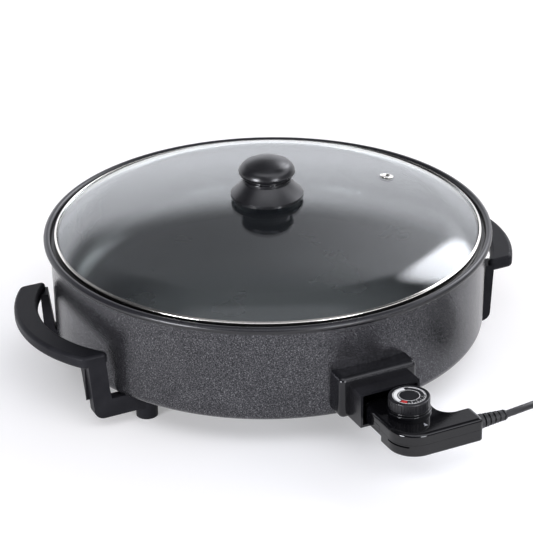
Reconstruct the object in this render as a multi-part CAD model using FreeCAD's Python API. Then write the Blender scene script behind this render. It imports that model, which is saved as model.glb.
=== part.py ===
import FreeCAD, Part
import math
import os

# Round electric pan: a cast vessel with a lift-off glass lid, two moulded handles that carry the feet,
# and a plug-in thermostat controller on a lead. All sizes are in millimetres.
# The pan is drawn about its own vertical axis, table at z = 0, controller towards -Y, and is then moved
# along Y so that the origin lies on the table under the middle of its box. The lead is drawn in the
# finished frame.

os.makedirs("parts", exist_ok=True)
V = FreeCAD.Vector

# Vessel
rim_radius = 210.0
rim_top = 126.2
bead_radius = 3.4
rim_overhang = 5.7
wall_draft = 1.1
wall_thickness = 5.6
inner_draft = 1.0
inner_corner = 30.0
foot_height = 30.0
floor_rise = 25.5
floor_thickness = 5.0
foot_corner = 8.0
foot_wall = 8.6
under_fillet = 6.0
ledge_drop = 6.7
ledge_width = 5.7
ledge_thickness = 3.5
edge_break = 0.6
cut_past = 1.0
hole_spare = 0.4

# Heater, its clips and the shield below it
heater_radius = 3.9
heater_ring_radius = 130.0
heater_lead_bend = 14.0
heater_gap = 0.1
terminal_spacing = 27.0
heater_end_inset = 10.2
clip_count = 4
clip_thickness = 1.0
clip_width = 12.0
clip_reach = 14.0
clip_screw_reach = 10.0
clip_screw_radius = 1.9
clip_screw_head_radius = 3.4
clip_screw_head_height = 2.2
clip_screw_depth = 3.2
shield_radius = 150.0
shield_sheet = 0.8
shield_drop = 13.5
shield_lip = 4.0
shield_rib_depth = 2.0
shield_rib_margin = 8.0
shield_pillar_ring = 95.0
shield_pillar_radius = 5.0
shield_screw_radius = 2.0
shield_screw_head_radius = 4.0
shield_screw_head_height = 2.4
shield_screw_depth = 9.0
shield_vent_count = 6
shield_vent_radius = 6.0
shield_vent_ring = 40.0

# Socket on the front of the vessel
window_half_width = 22.0
window_drop = 9.9
housing_half_width = 38.0
housing_drop = 8.5
housing_height = 40.0
housing_depth = 16.3
housing_wall = 3.0
housing_edge = 5.0
housing_seat_gap = 0.2
housing_side_reach = 12.0
shroud_half_width = 29.0
shroud_height = 33.0
shroud_depth = 20.0
shroud_wall = 2.2
pin_radius = 2.9
pin_inset = 7.5
pin_clearance = 0.1
seal_length = 3.5
seal_gap = 0.3
block_half_width = 20.5
block_height = 14.0
block_depth = 4.6
block_gap = 1.2
socket_screw_spread = 31.0
socket_screw_drop = 1.5
socket_screw_radius = 2.0
socket_screw_head_radius = 3.8
socket_screw_head_height = 2.4
socket_screw_head_gap = 0.6
socket_screw_length = 14.0
socket_boss_radius = 4.6
socket_boss_inset = 8.0
well_half_width = 7.0
well_inset = 16.2
well_length = 41.0
well_wall = 2.0
well_bore_clearance = 0.2
well_tab_length = 12.0
well_tab_thickness = 3.0
well_tab_half_width = 5.0
well_screw_share = 0.6

# Handles: one moulding, used twice, the second turned half round about the vessel's axis
grip_top = 77.2
grip_thickness = 12.0
grip_half_span = 80.0
grip_outer_radius = 132.0
grip_inner_radius = 111.5
grip_width = 21.7
finger_gap = 15.8
grip_corner = 7.0
grip_inner_corner = 4.0
grip_edge = 3.6
wide_leg_gap = 9.0
wide_leg_foot_gap = 6.2
wide_leg_thickness = 16.8
wide_leg_foot_thickness = 15.0
wide_leg_depth = 10.0
wide_leg_knee_height = 10.0
wide_leg_knee_radius = 4.0
wide_leg_heel = 1.6
wide_leg_heel_radius = 1.0
wide_leg_flare = 16.0
wide_leg_flare_drop = 36.0
wide_leg_flare_root = 0.5
leg_corner = 10.0
thin_leg_thickness = 7.5
thin_leg_gap = 5.2
thin_leg_lean = 5.0
thin_leg_inner_span = 62.0
thin_leg_foot_reach = 14.0
thin_leg_foot_spread = 2.0
thin_leg_root_radius = 7.0
arm_height = 18.0
arm_clear = 12.0
foot_inset = 20.7
foot_angle = 24.1
foot_radius = 10.0
foot_bore_radius = 5.6
foot_seat = 16.0
pillar_radius = 8.0
handle_screw_radius = 2.4
handle_screw_head_radius = 4.6
handle_screw_head_height = 3.2
handle_screw_length = 30.0
screw_clearance = 0.15

# Lid
glass_thickness = 4.0
dome_rise = 28.5
crown_radius = 900.0
shoulder_width = 34.0
glass_edge_inset = 1.0
glass_edge_rise = 6.0
band_sheet = 0.6
band_gap = 0.1
band_fold = 2.4
band_foot = 4.0
lid_play = 3.2
lid_seat_gap = 0.2
vent_x = 131.7
vent_y = 8.5
vent_flange_radius = 6.5
vent_flange_height = 1.0
vent_curl_inset = 0.6
vent_barrel_radius = 4.8
vent_hole_radius = 2.0
vent_clearance = 0.2
knob_head_radius = 26.5
knob_rise = 39.8
knob_head_rise = 27.0
knob_lip_radius = 22.6
knob_lip_rise = 22.8
knob_lip_bulge = 0.9
knob_neck_radius = 20.8
knob_neck_step = 0.6
knob_joint_rise = 20.4
knob_joint_gap = 0.1
knob_ring_radius = 22.2
knob_ring_rise = 17.5
knob_ring_step = 0.3
knob_skirt_radius = 34.0
knob_skirt_rise = 2.8
knob_skirt_edge = 2.8
knob_skirt_wall = 3.0
knob_skirt_hollowing = 0.4
knob_skirt_hollow = 6.4
knob_skirt_roof = 4.5
knob_boss_radius = 12.0
knob_gasket_radius = 14.0
knob_gasket_thickness = 1.2
knob_gasket_gap = 0.05
knob_screw_radius = 2.5
knob_screw_head_radius = 4.8
knob_screw_head_height = 3.0
knob_screw_length = 38.0
knob_hole_radius = 4.2
knob_seal_radius = 11.0
knob_seal_thickness = 1.2
knob_seal_gap = 0.07
knob_washer_radius = 9.0
knob_washer_thickness = 1.2
knob_insert_radius = 4.5
knob_insert_length = 12.0
knob_insert_cover = 1.6
knob_insert_gap = 0.3
knob_insert_side_gap = 0.05

# Controller
case_rise = 10.5
case_drop = 11.5
case_wall = 2.2
case_seam_gap = 0.15
nose_half_width = 22.5
nose_drop = 5.0
nose_gap = 8.8
nose_panel_half_height = 3.2
nose_panel_depth = 0.4
nose_panel_inset = 3.0
nose_panel_length = 20.0
nose_step = 4.0
nose_step_length = 16.5
nose_corner = 9.0
body_right = 29.7
body_back_gap = 4.5
body_length = 58.0
shoulder_gap = 24.5
arm_end = 57.0
arm_width = 24.0
body_front_corner = 24.0
body_inner_corner = 13.0
body_small_corner = 4.0
body_least_corner = 0.5
body_nook_corner = 2.0
case_top_edge = 3.6
case_bottom_edge = 2.0
finger_slot_drop = 2.8
finger_slot_height = 1.6
finger_slot_depth = 1.2
finger_slot_start = 176.0
finger_slot_sweep = 56.0
bezel_radius = 19.5
bezel_step_radius = 18.6
bezel_height = 4.3
bezel_step_height = 2.4
bezel_root = 0.5
dial_x = 7.5
dial_gap_to_socket = 19.5
dial_radius = 18.2
dial_rise = 14.0
dial_gap = 0.3
dial_edge = 1.0
dial_wall = 2.4
dial_hub_radius = 6.0
dial_hub_rise = 0.5
dial_plate_radius = 15.4
dial_plate_depth = 0.8
dial_plate_gap = 0.1
dial_plate_sink = 0.15
knurl_count = 36
knurl_radius = 0.7
knurl_offset_share = 0.45
spindle_radius = 3.0
spindle_rise = 3.3
spindle_clearance = 0.05
bushing_radius = 4.5
bushing_rise = 3.9
bushing_flange_radius = 6.5
bushing_flange_thickness = 1.6
bushing_head_gap = 1.6
probe_radius = 3.2
probe_end_gap = 2.0
probe_root_length = 16.0
probe_flange_radius = 4.6
probe_flange_thickness = 1.5
probe_flange_gap = 0.3
sleeve_wall = 0.9
sleeve_inset = 2.8
sleeve_length = 23.2
frame_sheet = 1.2
frame_left = -12.0
frame_right = 22.0
frame_half_width = 9.0
frame_floor_gap = 0.3
stack_x = -5.0
stack_radius = 3.6
stack_hole_radius = 1.6
stack_rivet_radius = 1.5
stack_rivet_head_radius = 2.6
stack_rivet_head_height = 0.8
stack_washer = 1.6
blade_thickness = 0.5
blade_half_width = 3.0
blade_end = 18.0
contact_x = 15.0
contact_radius = 1.8
contact_open_half = 0.05
case_screw_radius = 1.4
case_screw_head_radius = 2.6
case_screw_head_height = 1.6
case_screw_length = 14.0
case_boss_radius = 3.4
case_screw_offsets = ((-12.0, -26.0), (44.0, -30.0), (0.0, 15.0))

# Cord guard, lead and plug
guard_lift = 0.5
guard_neck_radius = 4.4
guard_flange_radius = 6.4
guard_flange_thickness = 1.8
guard_flange_gap = 0.2
guard_rib_count = 5
guard_rib_width = 3.3
guard_slot_width = 1.7
guard_root_radius = 6.5
guard_tip_radius = 4.9
guard_slot_radius = 4.0
guard_end_lip = 0.9
guard_neck_length = 1.6
guard_nose_length = 2.0
cord_radius = 3.2
coil_outer_radius = 41.0
coil_pitch = 6.9
coil_layer_rise = 6.9
coil_height = 4.4
coil_half_turns = 4
coil_heading = 55.0
tie_sheet = 0.8
tie_gap = 0.5
tie_foot_gap = 0.2
tie_half_width = 4.0
plug_radius = 19.0
plug_collar_radius = 4.8
plug_neck_radius = 6.4
plug_grip_radius = 13.6
plug_collar_length = 14.0
plug_neck_length = 5.0
plug_grip_length = 12.0
plug_flare_length = 4.0
plug_face_length = 8.0
plug_pin_radius = 2.4
plug_pin_length = 19.0
plug_pin_spacing = 19.0
plug_pin_root = 6.0
plug_pin_root_radius = 3.2
plug_pin_root_gap = 0.02
plug_earth_half_width = 2.6
plug_earth_depth = 2.0
plug_earth_sheet = 1.0
plug_earth_gap = 0.1
run_share = 0.45

# The lead's route, from the guard's end: steps along X and Y, and the height above the table
lead_route = [(18.4, 1.4, 47.6), (39.4, 8.0, 44.6), (60.4, 21.0, 34.5), (78.4, 38.0, 20.5), (93.4, 56.5, 9.4),
              (105.4, 75.0, 4.7), (115.7, 89.7, coil_height)]
tail_route = [(172.4, 23.4, 12.0), (163.4, 7.0, 13.5), (157.4, -10.0, 16.0), (154.4, -27.0, 18.0)]
plug_step = (154.4, -43.0)

# Sizes that follow from the ones above: the vessel
wall_top_radius = rim_radius - rim_overhang
wall_foot_radius = wall_top_radius - wall_draft
seat_radius = rim_radius - 2.0 * bead_radius
ledge_height = rim_top - ledge_drop
ledge_inner_radius = seat_radius - ledge_width
floor_top = foot_height + floor_rise
floor_under = floor_top - floor_thickness
foot_inner_radius = wall_foot_radius - foot_wall
pin_height = floor_under - heater_gap - heater_radius
shield_height = floor_under - shield_drop

# The socket, forward of the wall's front
wall_front = -wall_foot_radius
heater_end_y = wall_front + heater_end_inset
window_bottom = floor_under - window_drop
housing_bottom = pin_height - housing_drop
housing_front = wall_front - housing_depth
shroud_bottom = housing_bottom
shroud_front = housing_front - shroud_depth
pin_front = shroud_front + pin_inset
block_back = wall_front - block_gap
block_front = block_back - block_depth
socket_screw_height = pin_height - socket_screw_drop
socket_screw_seat = -foot_inner_radius
well_mouth = wall_front + well_inset
well_end = well_mouth + well_length
sleeve_bore = pin_radius + pin_clearance

# The handles, outward of the rim and the wall
grip_inner_reach = rim_radius + finger_gap
grip_outer_reach = grip_inner_reach + grip_width
grip_bottom = grip_top - grip_thickness
wall_beside_leg = math.sqrt(wall_foot_radius ** 2 - (grip_half_span - wide_leg_depth) ** 2)
wide_leg_inner = wall_beside_leg + wide_leg_gap
wide_leg_outer = wide_leg_inner + wide_leg_thickness
wide_leg_inner_foot = wall_beside_leg + wide_leg_foot_gap
wide_leg_outer_foot = wide_leg_inner_foot + wide_leg_foot_thickness
arm_top = arm_clear + arm_height
foot_x = (foot_inner_radius - foot_inset) * math.cos(math.radians(foot_angle))
foot_y = (foot_inner_radius - foot_inset) * math.sin(math.radians(foot_angle))

# The lid, inside the rim and above its ledge
band_radius = seat_radius - lid_play
glass_edge_radius = band_radius - glass_edge_inset
glass_edge_height = ledge_height + glass_edge_rise
glass_top = glass_edge_height + dome_rise
crown_reach = glass_edge_radius - shoulder_width
shoulder_start = math.asin(crown_reach / crown_radius)
shoulder_drop = crown_radius * (1.0 - math.cos(shoulder_start))
shoulder_fall = glass_top - shoulder_drop - glass_edge_height
shoulder_end = 2.0 * math.atan2(shoulder_fall, glass_edge_radius - crown_reach) - shoulder_start
shoulder_radius = (glass_edge_radius - crown_reach) / (math.sin(shoulder_end) - math.sin(shoulder_start))
crown_centre = glass_top - crown_radius
seal_top = glass_top - glass_thickness - knob_seal_gap
knob_top = glass_top + knob_rise
knob_head_height = glass_top + knob_head_rise
knob_lip_height = glass_top + knob_lip_rise
knob_joint = glass_top + knob_joint_rise
knob_ring_bottom = glass_top + knob_ring_rise
knob_skirt_bottom = glass_top + knob_skirt_rise

# The controller, forward of the socket and level with its pins
case_top = pin_height + case_rise
case_bottom = pin_height - case_drop
case_seam = pin_height
nose_bottom = pin_height - nose_drop
nose_tip = wall_front - nose_gap
nose_end = nose_tip - nose_step_length
nose_top = case_top - nose_step
body_back = shroud_front - body_back_gap
body_front = body_back - body_length
body_shoulder = shroud_front - shoulder_gap
arm_back = body_front + arm_width
dial_y = shroud_front - dial_gap_to_socket
dial_top = case_top + dial_rise
spindle_bottom = pin_height + spindle_rise
bushing_bottom = pin_height + bushing_rise
probe_tip = well_end - well_wall - probe_end_gap
probe_root = nose_tip - probe_root_length
sleeve_start = nose_tip - sleeve_inset
sleeve_end = sleeve_start - sleeve_length
case_screw_places = [(x, dial_y + y) for x, y in case_screw_offsets]

# The lead, in the finished frame
pan_y = -(body_front + rim_radius) / 2.0
guard_y = (body_front + arm_back) / 2.0
guard_height = pin_height + guard_lift
guard_length = guard_neck_length + guard_rib_count * (guard_rib_width + guard_slot_width) + guard_nose_length
lead_start = V(arm_end + guard_length, guard_y + pan_y, guard_height)
lead_points = [lead_start] + [V(lead_start.x + x, lead_start.y + y, z) for x, y, z in lead_route]
tail_points = [V(lead_start.x + x, lead_start.y + y, z) for x, y, z in tail_route]
plug_place = V(lead_start.x + plug_step[0], lead_start.y + plug_step[1], plug_radius)


def wall_radius_at(height):
    # outside of the vessel's tapered wall at a height above the table
    share = (height - foot_height) / (rim_top - 2.0 * bead_radius - foot_height)
    return wall_foot_radius + (wall_top_radius - wall_foot_radius) * share


def rounded_path(points, radii, closed):
    # straight sides joined by tangent arcs, one radius for each point and 0 for a sharp corner
    sides = []
    count = len(points)
    for i in range(count):
        corner = points[i]
        if radii[i] <= 0 or (not closed and i in (0, count - 1)):
            sides.append((corner, None, corner))
            continue
        back = (points[i - 1] - corner).normalize()
        ahead = (points[(i + 1) % count] - corner).normalize()
        half = back.getAngle(ahead) / 2.0
        reach = radii[i] / math.tan(half)
        middle = (back + ahead).normalize() * (radii[i] / math.sin(half) - radii[i])
        sides.append((corner + back * reach, corner + middle, corner + ahead * reach))
    edges = []
    for i in range(count):
        entry, middle, leave = sides[i]
        if middle is not None:
            edges.append(Part.Arc(entry, middle, leave).toShape())
        if i == count - 1 and not closed:
            break
        following = sides[(i + 1) % count][0]
        if (following - leave).Length > 1e-5:
            edges.append(Part.LineSegment(leave, following).toShape())
    return Part.Wire(edges)


def turned(corners):
    # a body of revolution about Z from (radius, height, corner radius) rows
    points = [V(r, 0, z) for r, z, _ in corners]
    outline = rounded_path(points, [c for _, _, c in corners], True)
    return Part.Face(outline).revolve(V(0, 0, 0), V(0, 0, 1), 360)


def plate(corners, bottom, top):
    # a flat outline in plan from (x, y, corner radius) rows, raised from bottom to top
    points = [V(x, y, bottom) for x, y, _ in corners]
    outline = rounded_path(points, [c for _, _, c in corners], True)
    return Part.Face(outline).extrude(V(0, 0, top - bottom))


def block(x0, x1, y0, y1, z0, z1):
    return Part.makeBox(x1 - x0, y1 - y0, z1 - z0, V(x0, y0, z0))


def rod(radius, start, end):
    along = end - start
    return Part.makeCylinder(radius, along.Length, start, along)


def flat_edges(shape, height):
    # the edges that lie level at one height
    found = []
    for edge in shape.Edges:
        box = edge.BoundBox
        if abs(box.ZMin - height) < 1e-3 and abs(box.ZMax - height) < 1e-3:
            found.append(edge)
    return found


def around(count, ring, start=0.0):
    # places spaced evenly on a ring
    return [V(ring * math.cos(math.radians(start + 360.0 * i / count)),
              ring * math.sin(math.radians(start + 360.0 * i / count)), 0) for i in range(count)]


def pan_screw(seat, direction, radius, length, head_radius, head_height):
    # a screw whose rounded head stands on its seat, with the shank running along direction
    corners = [(0, -head_height, 0), (head_radius, -head_height, head_height * 0.55), (head_radius, 0, 0),
               (radius, 0, 0), (radius, length, radius * 0.3), (0, length, 0)]
    screw = turned(corners)
    screw.Placement = FreeCAD.Placement(seat, FreeCAD.Rotation(V(0, 0, 1), direction))
    return screw


def foot_places(side):
    return [V(side * foot_x, -side * foot_y, 0), V(side * foot_x, side * foot_y, 0)]


# Vessel

def clip_places():
    return around(clip_count, heater_ring_radius, 45.0)


def clip_screw_seats():
    seats = []
    for place in clip_places():
        outward = V(place).normalize()
        for side in (-1, 1):
            seats.append(place + outward * side * clip_screw_reach + V(0, 0, floor_under - clip_thickness))
    return seats


def shield_seats():
    return [place + V(0, 0, shield_height - shield_sheet) for place in around(3, shield_pillar_ring, 90.0)]


def vessel():
    inner_top = wall_top_radius - wall_thickness
    inner_foot = wall_foot_radius - wall_thickness - inner_draft
    lip = ledge_height - ledge_thickness
    bead_bottom = rim_top - 2.0 * bead_radius
    shell = turned([
        (0, floor_top, 0), (inner_foot, floor_top, inner_corner),
        (inner_top, lip - (inner_top - ledge_inner_radius), edge_break), (ledge_inner_radius, lip, edge_break / 2),
        (ledge_inner_radius, ledge_height, edge_break), (seat_radius, ledge_height, edge_break),
        (seat_radius, rim_top, bead_radius), (rim_radius, rim_top, bead_radius),
        (rim_radius, bead_bottom, bead_radius), (wall_top_radius, bead_bottom, edge_break),
        (wall_foot_radius, foot_height, foot_corner), (foot_inner_radius, foot_height, edge_break / 2),
        (foot_inner_radius, floor_under, under_fillet), (0, floor_under, 0)])
    pillars = []
    for side in (-1, 1):
        for place in foot_places(side):
            pillars.append(rod(pillar_radius, place + V(0, 0, foot_height), place + V(0, 0, floor_under + cut_past)))
    for seat in shield_seats():
        top = V(seat.x, seat.y, floor_under + cut_past)
        pillars.append(rod(shield_pillar_radius, seat + V(0, 0, shield_sheet), top))
    shell = shell.fuse(pillars)
    holes = []
    for side in (-1, 1):
        for place in foot_places(side):
            end = place + V(0, 0, foot_seat + handle_screw_length + hole_spare)
            holes.append(rod(handle_screw_radius + screw_clearance, place, end))
    for seat in shield_seats():
        end = seat + V(0, 0, shield_sheet + shield_screw_depth + hole_spare)
        holes.append(rod(shield_screw_radius + screw_clearance, seat, end))
    for seat in clip_screw_seats():
        end = seat + V(0, 0, clip_thickness + clip_screw_depth + hole_spare)
        holes.append(rod(clip_screw_radius + screw_clearance, seat, end))
    well_hole_end = well_screw_seat() + V(0, 0, well_tab_thickness + clip_screw_depth + hole_spare)
    holes.append(rod(clip_screw_radius + screw_clearance, well_screw_seat(), well_hole_end))
    outside = wall_front - cut_past
    holes.append(block(-window_half_width, window_half_width, outside, -foot_inner_radius + under_fillet + cut_past,
                       window_bottom, floor_under))
    for side in (-1, 1):
        seat = V(side * socket_screw_spread, socket_screw_seat, socket_screw_height)
        holes.append(rod(socket_screw_radius + screw_clearance, seat, V(seat.x, outside, seat.z)))
        holes.append(rod(socket_screw_head_radius + socket_screw_head_gap, seat, seat + V(0, foot_wall, 0)))
    return shell.cut(holes)


def heater_path():
    # two leads beside the probe well, each bent into one open ring
    lead_x = terminal_spacing / 2.0
    bend_x = lead_x + heater_lead_bend
    bend_y = -math.sqrt((heater_ring_radius + heater_lead_bend) ** 2 - bend_x ** 2)
    share = heater_ring_radius / (heater_ring_radius + heater_lead_bend)
    half = math.atan2(bend_y * share, bend_x * share)
    edges = []
    for side in (1, -1):
        start = V(side * lead_x, heater_end_y, pin_height)
        bend = V(side * lead_x, bend_y, pin_height)
        centre = V(side * bend_x, bend_y, pin_height)
        joined = V(side * bend_x * share, bend_y * share, pin_height)
        inward = ((bend + joined) * 0.5 - centre).normalize()
        lead = [Part.LineSegment(start, bend).toShape(),
                Part.Arc(bend, centre + inward * heater_lead_bend, joined).toShape()]
        edges.append((lead, joined))
    ring = Part.Arc(edges[0][1], V(0, heater_ring_radius, pin_height), edges[1][1]).toShape()
    print("heater ring covers %.0f degrees" % (180.0 - 2.0 * math.degrees(half)))
    return Part.Wire(edges[0][0] + [ring] + edges[1][0][::-1])


def heating_element():
    start = V(terminal_spacing / 2.0, heater_end_y, pin_height)
    section = Part.Wire(Part.makeCircle(heater_radius, start, V(0, 1, 0)))
    return heater_path().makePipeShell([section], True, False)


def heater_clips():
    # a saddle over the tube with a flat foot on each side
    inner = heater_radius + heater_gap
    outer = inner + clip_thickness
    foot = floor_under - clip_thickness
    level = pin_height
    saddle = Part.Wire([
        Part.LineSegment(V(inner, 0, floor_under), V(inner, 0, level)).toShape(),
        Part.Arc(V(inner, 0, level), V(0, 0, level - inner), V(-inner, 0, level)).toShape(),
        Part.LineSegment(V(-inner, 0, level), V(-inner, 0, floor_under)).toShape(),
        Part.LineSegment(V(-inner, 0, floor_under), V(-clip_reach, 0, floor_under)).toShape(),
        Part.LineSegment(V(-clip_reach, 0, floor_under), V(-clip_reach, 0, foot)).toShape(),
        Part.LineSegment(V(-clip_reach, 0, foot), V(-outer, 0, foot)).toShape(),
        Part.LineSegment(V(-outer, 0, foot), V(-outer, 0, level)).toShape(),
        Part.Arc(V(-outer, 0, level), V(0, 0, level - outer), V(outer, 0, level)).toShape(),
        Part.LineSegment(V(outer, 0, level), V(outer, 0, foot)).toShape(),
        Part.LineSegment(V(outer, 0, foot), V(clip_reach, 0, foot)).toShape(),
        Part.LineSegment(V(clip_reach, 0, foot), V(clip_reach, 0, floor_under)).toShape(),
        Part.LineSegment(V(clip_reach, 0, floor_under), V(inner, 0, floor_under)).toShape()])
    clips = []
    for place in clip_places():
        clip = Part.Face(saddle).extrude(V(0, clip_width, 0))
        clip.translate(V(0, -clip_width / 2.0, 0))
        for side in (-1, 1):
            low = V(side * clip_screw_reach, 0, foot - cut_past)
            high = V(side * clip_screw_reach, 0, floor_under + cut_past)
            clip = clip.cut(rod(clip_screw_radius + screw_clearance, low, high))
        clip.rotate(V(0, 0, 0), V(0, 0, 1), math.degrees(math.atan2(place.y, place.x)))
        clip.translate(place)
        clips.append(clip)
    return clips


def clip_screws():
    return [pan_screw(seat, V(0, 0, 1), clip_screw_radius, clip_thickness + clip_screw_depth,
                      clip_screw_head_radius, clip_screw_head_height) for seat in clip_screw_seats()]


def heat_shield():
    # pressed disc with one raised ring and a turned-down lip
    low = shield_height - shield_rib_depth
    rib_in = shield_vent_ring + shield_vent_radius + shield_rib_margin
    rib_out = shield_pillar_ring - shield_screw_head_radius - shield_rib_margin
    step = shield_rib_depth
    top = [(0, shield_height), (rib_in, shield_height), (rib_in + step, low), (rib_out - step, low),
           (rib_out, shield_height), (shield_radius, shield_height)]
    corners = [(r, z, 0) for r, z in top]
    corners += [(shield_radius, shield_height - shield_lip, 0),
                (shield_radius - shield_sheet, shield_height - shield_lip, 0),
                (shield_radius - shield_sheet, shield_height - shield_sheet, 0)]
    corners += [(r, z - shield_sheet, 0) for r, z in reversed(top[:-1])]
    disc = turned(corners)
    holes = []
    for seat in shield_seats():
        holes.append(rod(shield_screw_radius + screw_clearance, seat - V(0, 0, cut_past),
                         seat + V(0, 0, shield_sheet + cut_past)))
    for place in around(shield_vent_count, shield_vent_ring):
        holes.append(rod(shield_vent_radius, place + V(0, 0, low - shield_sheet - cut_past),
                         place + V(0, 0, shield_height + cut_past)))
    return disc.cut(holes)


def shield_screws():
    return [pan_screw(seat, V(0, 0, 1), shield_screw_radius, shield_sheet + shield_screw_depth,
                      shield_screw_head_radius, shield_screw_head_height) for seat in shield_seats()]


# Socket

def terminals():
    return [V(side * terminal_spacing / 2.0, 0, pin_height) for side in (-1, 1)]


def terminal_pins():
    pins = []
    for place in terminals():
        pin = turned([(0, 0, 0), (pin_radius, 0, 0), (pin_radius, heater_end_y - pin_front, pin_radius * 0.6),
                      (0, heater_end_y - pin_front, 0)])
        pin.Placement = FreeCAD.Placement(place + V(0, heater_end_y, 0), FreeCAD.Rotation(V(0, 0, 1), V(0, -1, 0)))
        pins.append(pin)
    return pins


def heater_end_seals():
    seals = []
    for place in terminals():
        start = place + V(0, heater_end_y, 0)
        end = start - V(0, seal_length, 0)
        seals.append(rod(heater_radius, start, end).cut(rod(pin_radius + pin_clearance, start, end)))
    return seals


def terminal_block():
    bottom = housing_bottom + housing_wall + pin_clearance
    body = block(-block_half_width, block_half_width, block_front, block_back, bottom, bottom + block_height)
    tongue = block(-block_half_width, block_half_width, block_back, heater_end_y - seal_length - seal_gap,
                   bottom, floor_under - pin_clearance)
    solid = body.fuse(tongue)
    start = V(0, block_front - cut_past, 0)
    for place in terminals():
        solid = solid.cut(rod(pin_radius + pin_clearance, place + start, place + V(0, heater_end_y, 0)))
    probe_hole = probe_radius + well_bore_clearance
    solid = solid.cut(rod(probe_hole, start + V(0, 0, pin_height), V(0, heater_end_y, pin_height)))
    return solid.removeSplitter()


def well_screw_seat():
    return V(0, well_end + well_tab_length * well_screw_share, floor_under - well_tab_thickness)


def probe_well():
    bore = probe_radius + well_bore_clearance
    bottom = pin_height - bore - well_wall
    body = block(-well_half_width, well_half_width, well_mouth, well_end, bottom, floor_under)
    tab = block(-well_tab_half_width, well_tab_half_width, well_end, well_end + well_tab_length,
                floor_under - well_tab_thickness, floor_under)
    body = body.fuse(tab)
    body = body.cut(rod(bore, V(0, well_mouth - cut_past, pin_height), V(0, well_end - well_wall, pin_height)))
    seat = well_screw_seat()
    hole = rod(clip_screw_radius + screw_clearance, seat - V(0, 0, cut_past),
               seat + V(0, 0, well_tab_thickness + cut_past))
    return body.cut(hole).removeSplitter()


def well_screw():
    return pan_screw(well_screw_seat(), V(0, 0, 1), clip_screw_radius, well_tab_thickness + clip_screw_depth,
                     clip_screw_head_radius, clip_screw_head_height)


def socket_housing():
    # rounded box against the wall, with a square-edged shroud round the mouth
    top = housing_bottom + housing_height
    back = wall_front + housing_side_reach
    box = block(-housing_half_width, housing_half_width, housing_front, back, housing_bottom, top)
    rounded = [edge for edge in box.Edges if edge.BoundBox.YMin < back - cut_past]
    box = box.makeFillet(housing_edge, rounded)
    shroud = block(-shroud_half_width, shroud_half_width, shroud_front, housing_front + housing_wall,
                   shroud_bottom, shroud_bottom + shroud_height)
    hollow = block(-housing_half_width + housing_wall, housing_half_width - housing_wall,
                   housing_front + housing_wall, back + cut_past, housing_bottom + housing_wall, top - housing_wall)
    mouth = block(-shroud_half_width + shroud_wall, shroud_half_width - shroud_wall, shroud_front - cut_past,
                  housing_front + housing_wall + cut_past, shroud_bottom + shroud_wall,
                  shroud_bottom + shroud_height - shroud_wall)
    solid = box.cut(hollow)
    bosses = []
    for side in (-1, 1):
        place = V(side * socket_screw_spread, 0, socket_screw_height)
        bosses.append(rod(socket_boss_radius, place + V(0, housing_front + cut_past, 0),
                          place + V(0, back - socket_boss_inset, 0)))
    solid = solid.fuse([shroud] + bosses)
    solid = solid.cut(mouth)
    low, high = housing_bottom - cut_past, top + cut_past
    wall = Part.makeCone(wall_radius_at(low) + housing_seat_gap, wall_radius_at(high) + housing_seat_gap,
                         high - low, V(0, 0, low))
    solid = solid.cut(wall)
    for side in (-1, 1):
        place = V(side * socket_screw_spread, 0, socket_screw_height)
        end = socket_screw_seat - socket_screw_length - hole_spare
        solid = solid.cut(rod(socket_screw_radius + screw_clearance, place + V(0, back, 0), place + V(0, end, 0)))
    return solid.removeSplitter()


def socket_screws():
    screws = []
    for side in (-1, 1):
        seat = V(side * socket_screw_spread, socket_screw_seat, socket_screw_height)
        screws.append(pan_screw(seat, V(0, -1, 0), socket_screw_radius, socket_screw_length,
                                socket_screw_head_radius, socket_screw_head_height))
    return screws


# Handles

def at_corner(edge, reach):
    # an upright edge of the grip at one distance from the vessel's middle
    box = edge.BoundBox
    return box.ZLength > grip_thickness / 2.0 and abs(box.XMin - reach) < 1e-3 and box.XLength < 1e-3


def grip():
    # crescent between two arcs, cut square at the ends, with rounded corners and edges
    outer_centre = grip_outer_reach - grip_outer_radius
    inner_centre = grip_inner_reach - grip_inner_radius
    outer_end = outer_centre + math.sqrt(grip_outer_radius ** 2 - grip_half_span ** 2)
    inner_end = inner_centre + math.sqrt(grip_inner_radius ** 2 - grip_half_span ** 2)
    z = grip_bottom
    far_back, far_front = V(outer_end, grip_half_span, z), V(outer_end, -grip_half_span, z)
    near_back, near_front = V(inner_end, grip_half_span, z), V(inner_end, -grip_half_span, z)
    outline = Part.Wire([Part.Arc(far_front, V(grip_outer_reach, 0, z), far_back).toShape(),
                         Part.LineSegment(far_back, near_back).toShape(),
                         Part.Arc(near_back, V(grip_inner_reach, 0, z), near_front).toShape(),
                         Part.LineSegment(near_front, far_front).toShape()])
    solid = Part.Face(outline).extrude(V(0, 0, grip_thickness))
    for reach, radius in ((outer_end, grip_corner), (inner_end, grip_inner_corner)):
        solid = solid.makeFillet(radius, [edge for edge in solid.Edges if at_corner(edge, reach)])
    return solid.makeFillet(grip_edge, flat_edges(solid, grip_top) + flat_edges(solid, grip_bottom))


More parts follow.
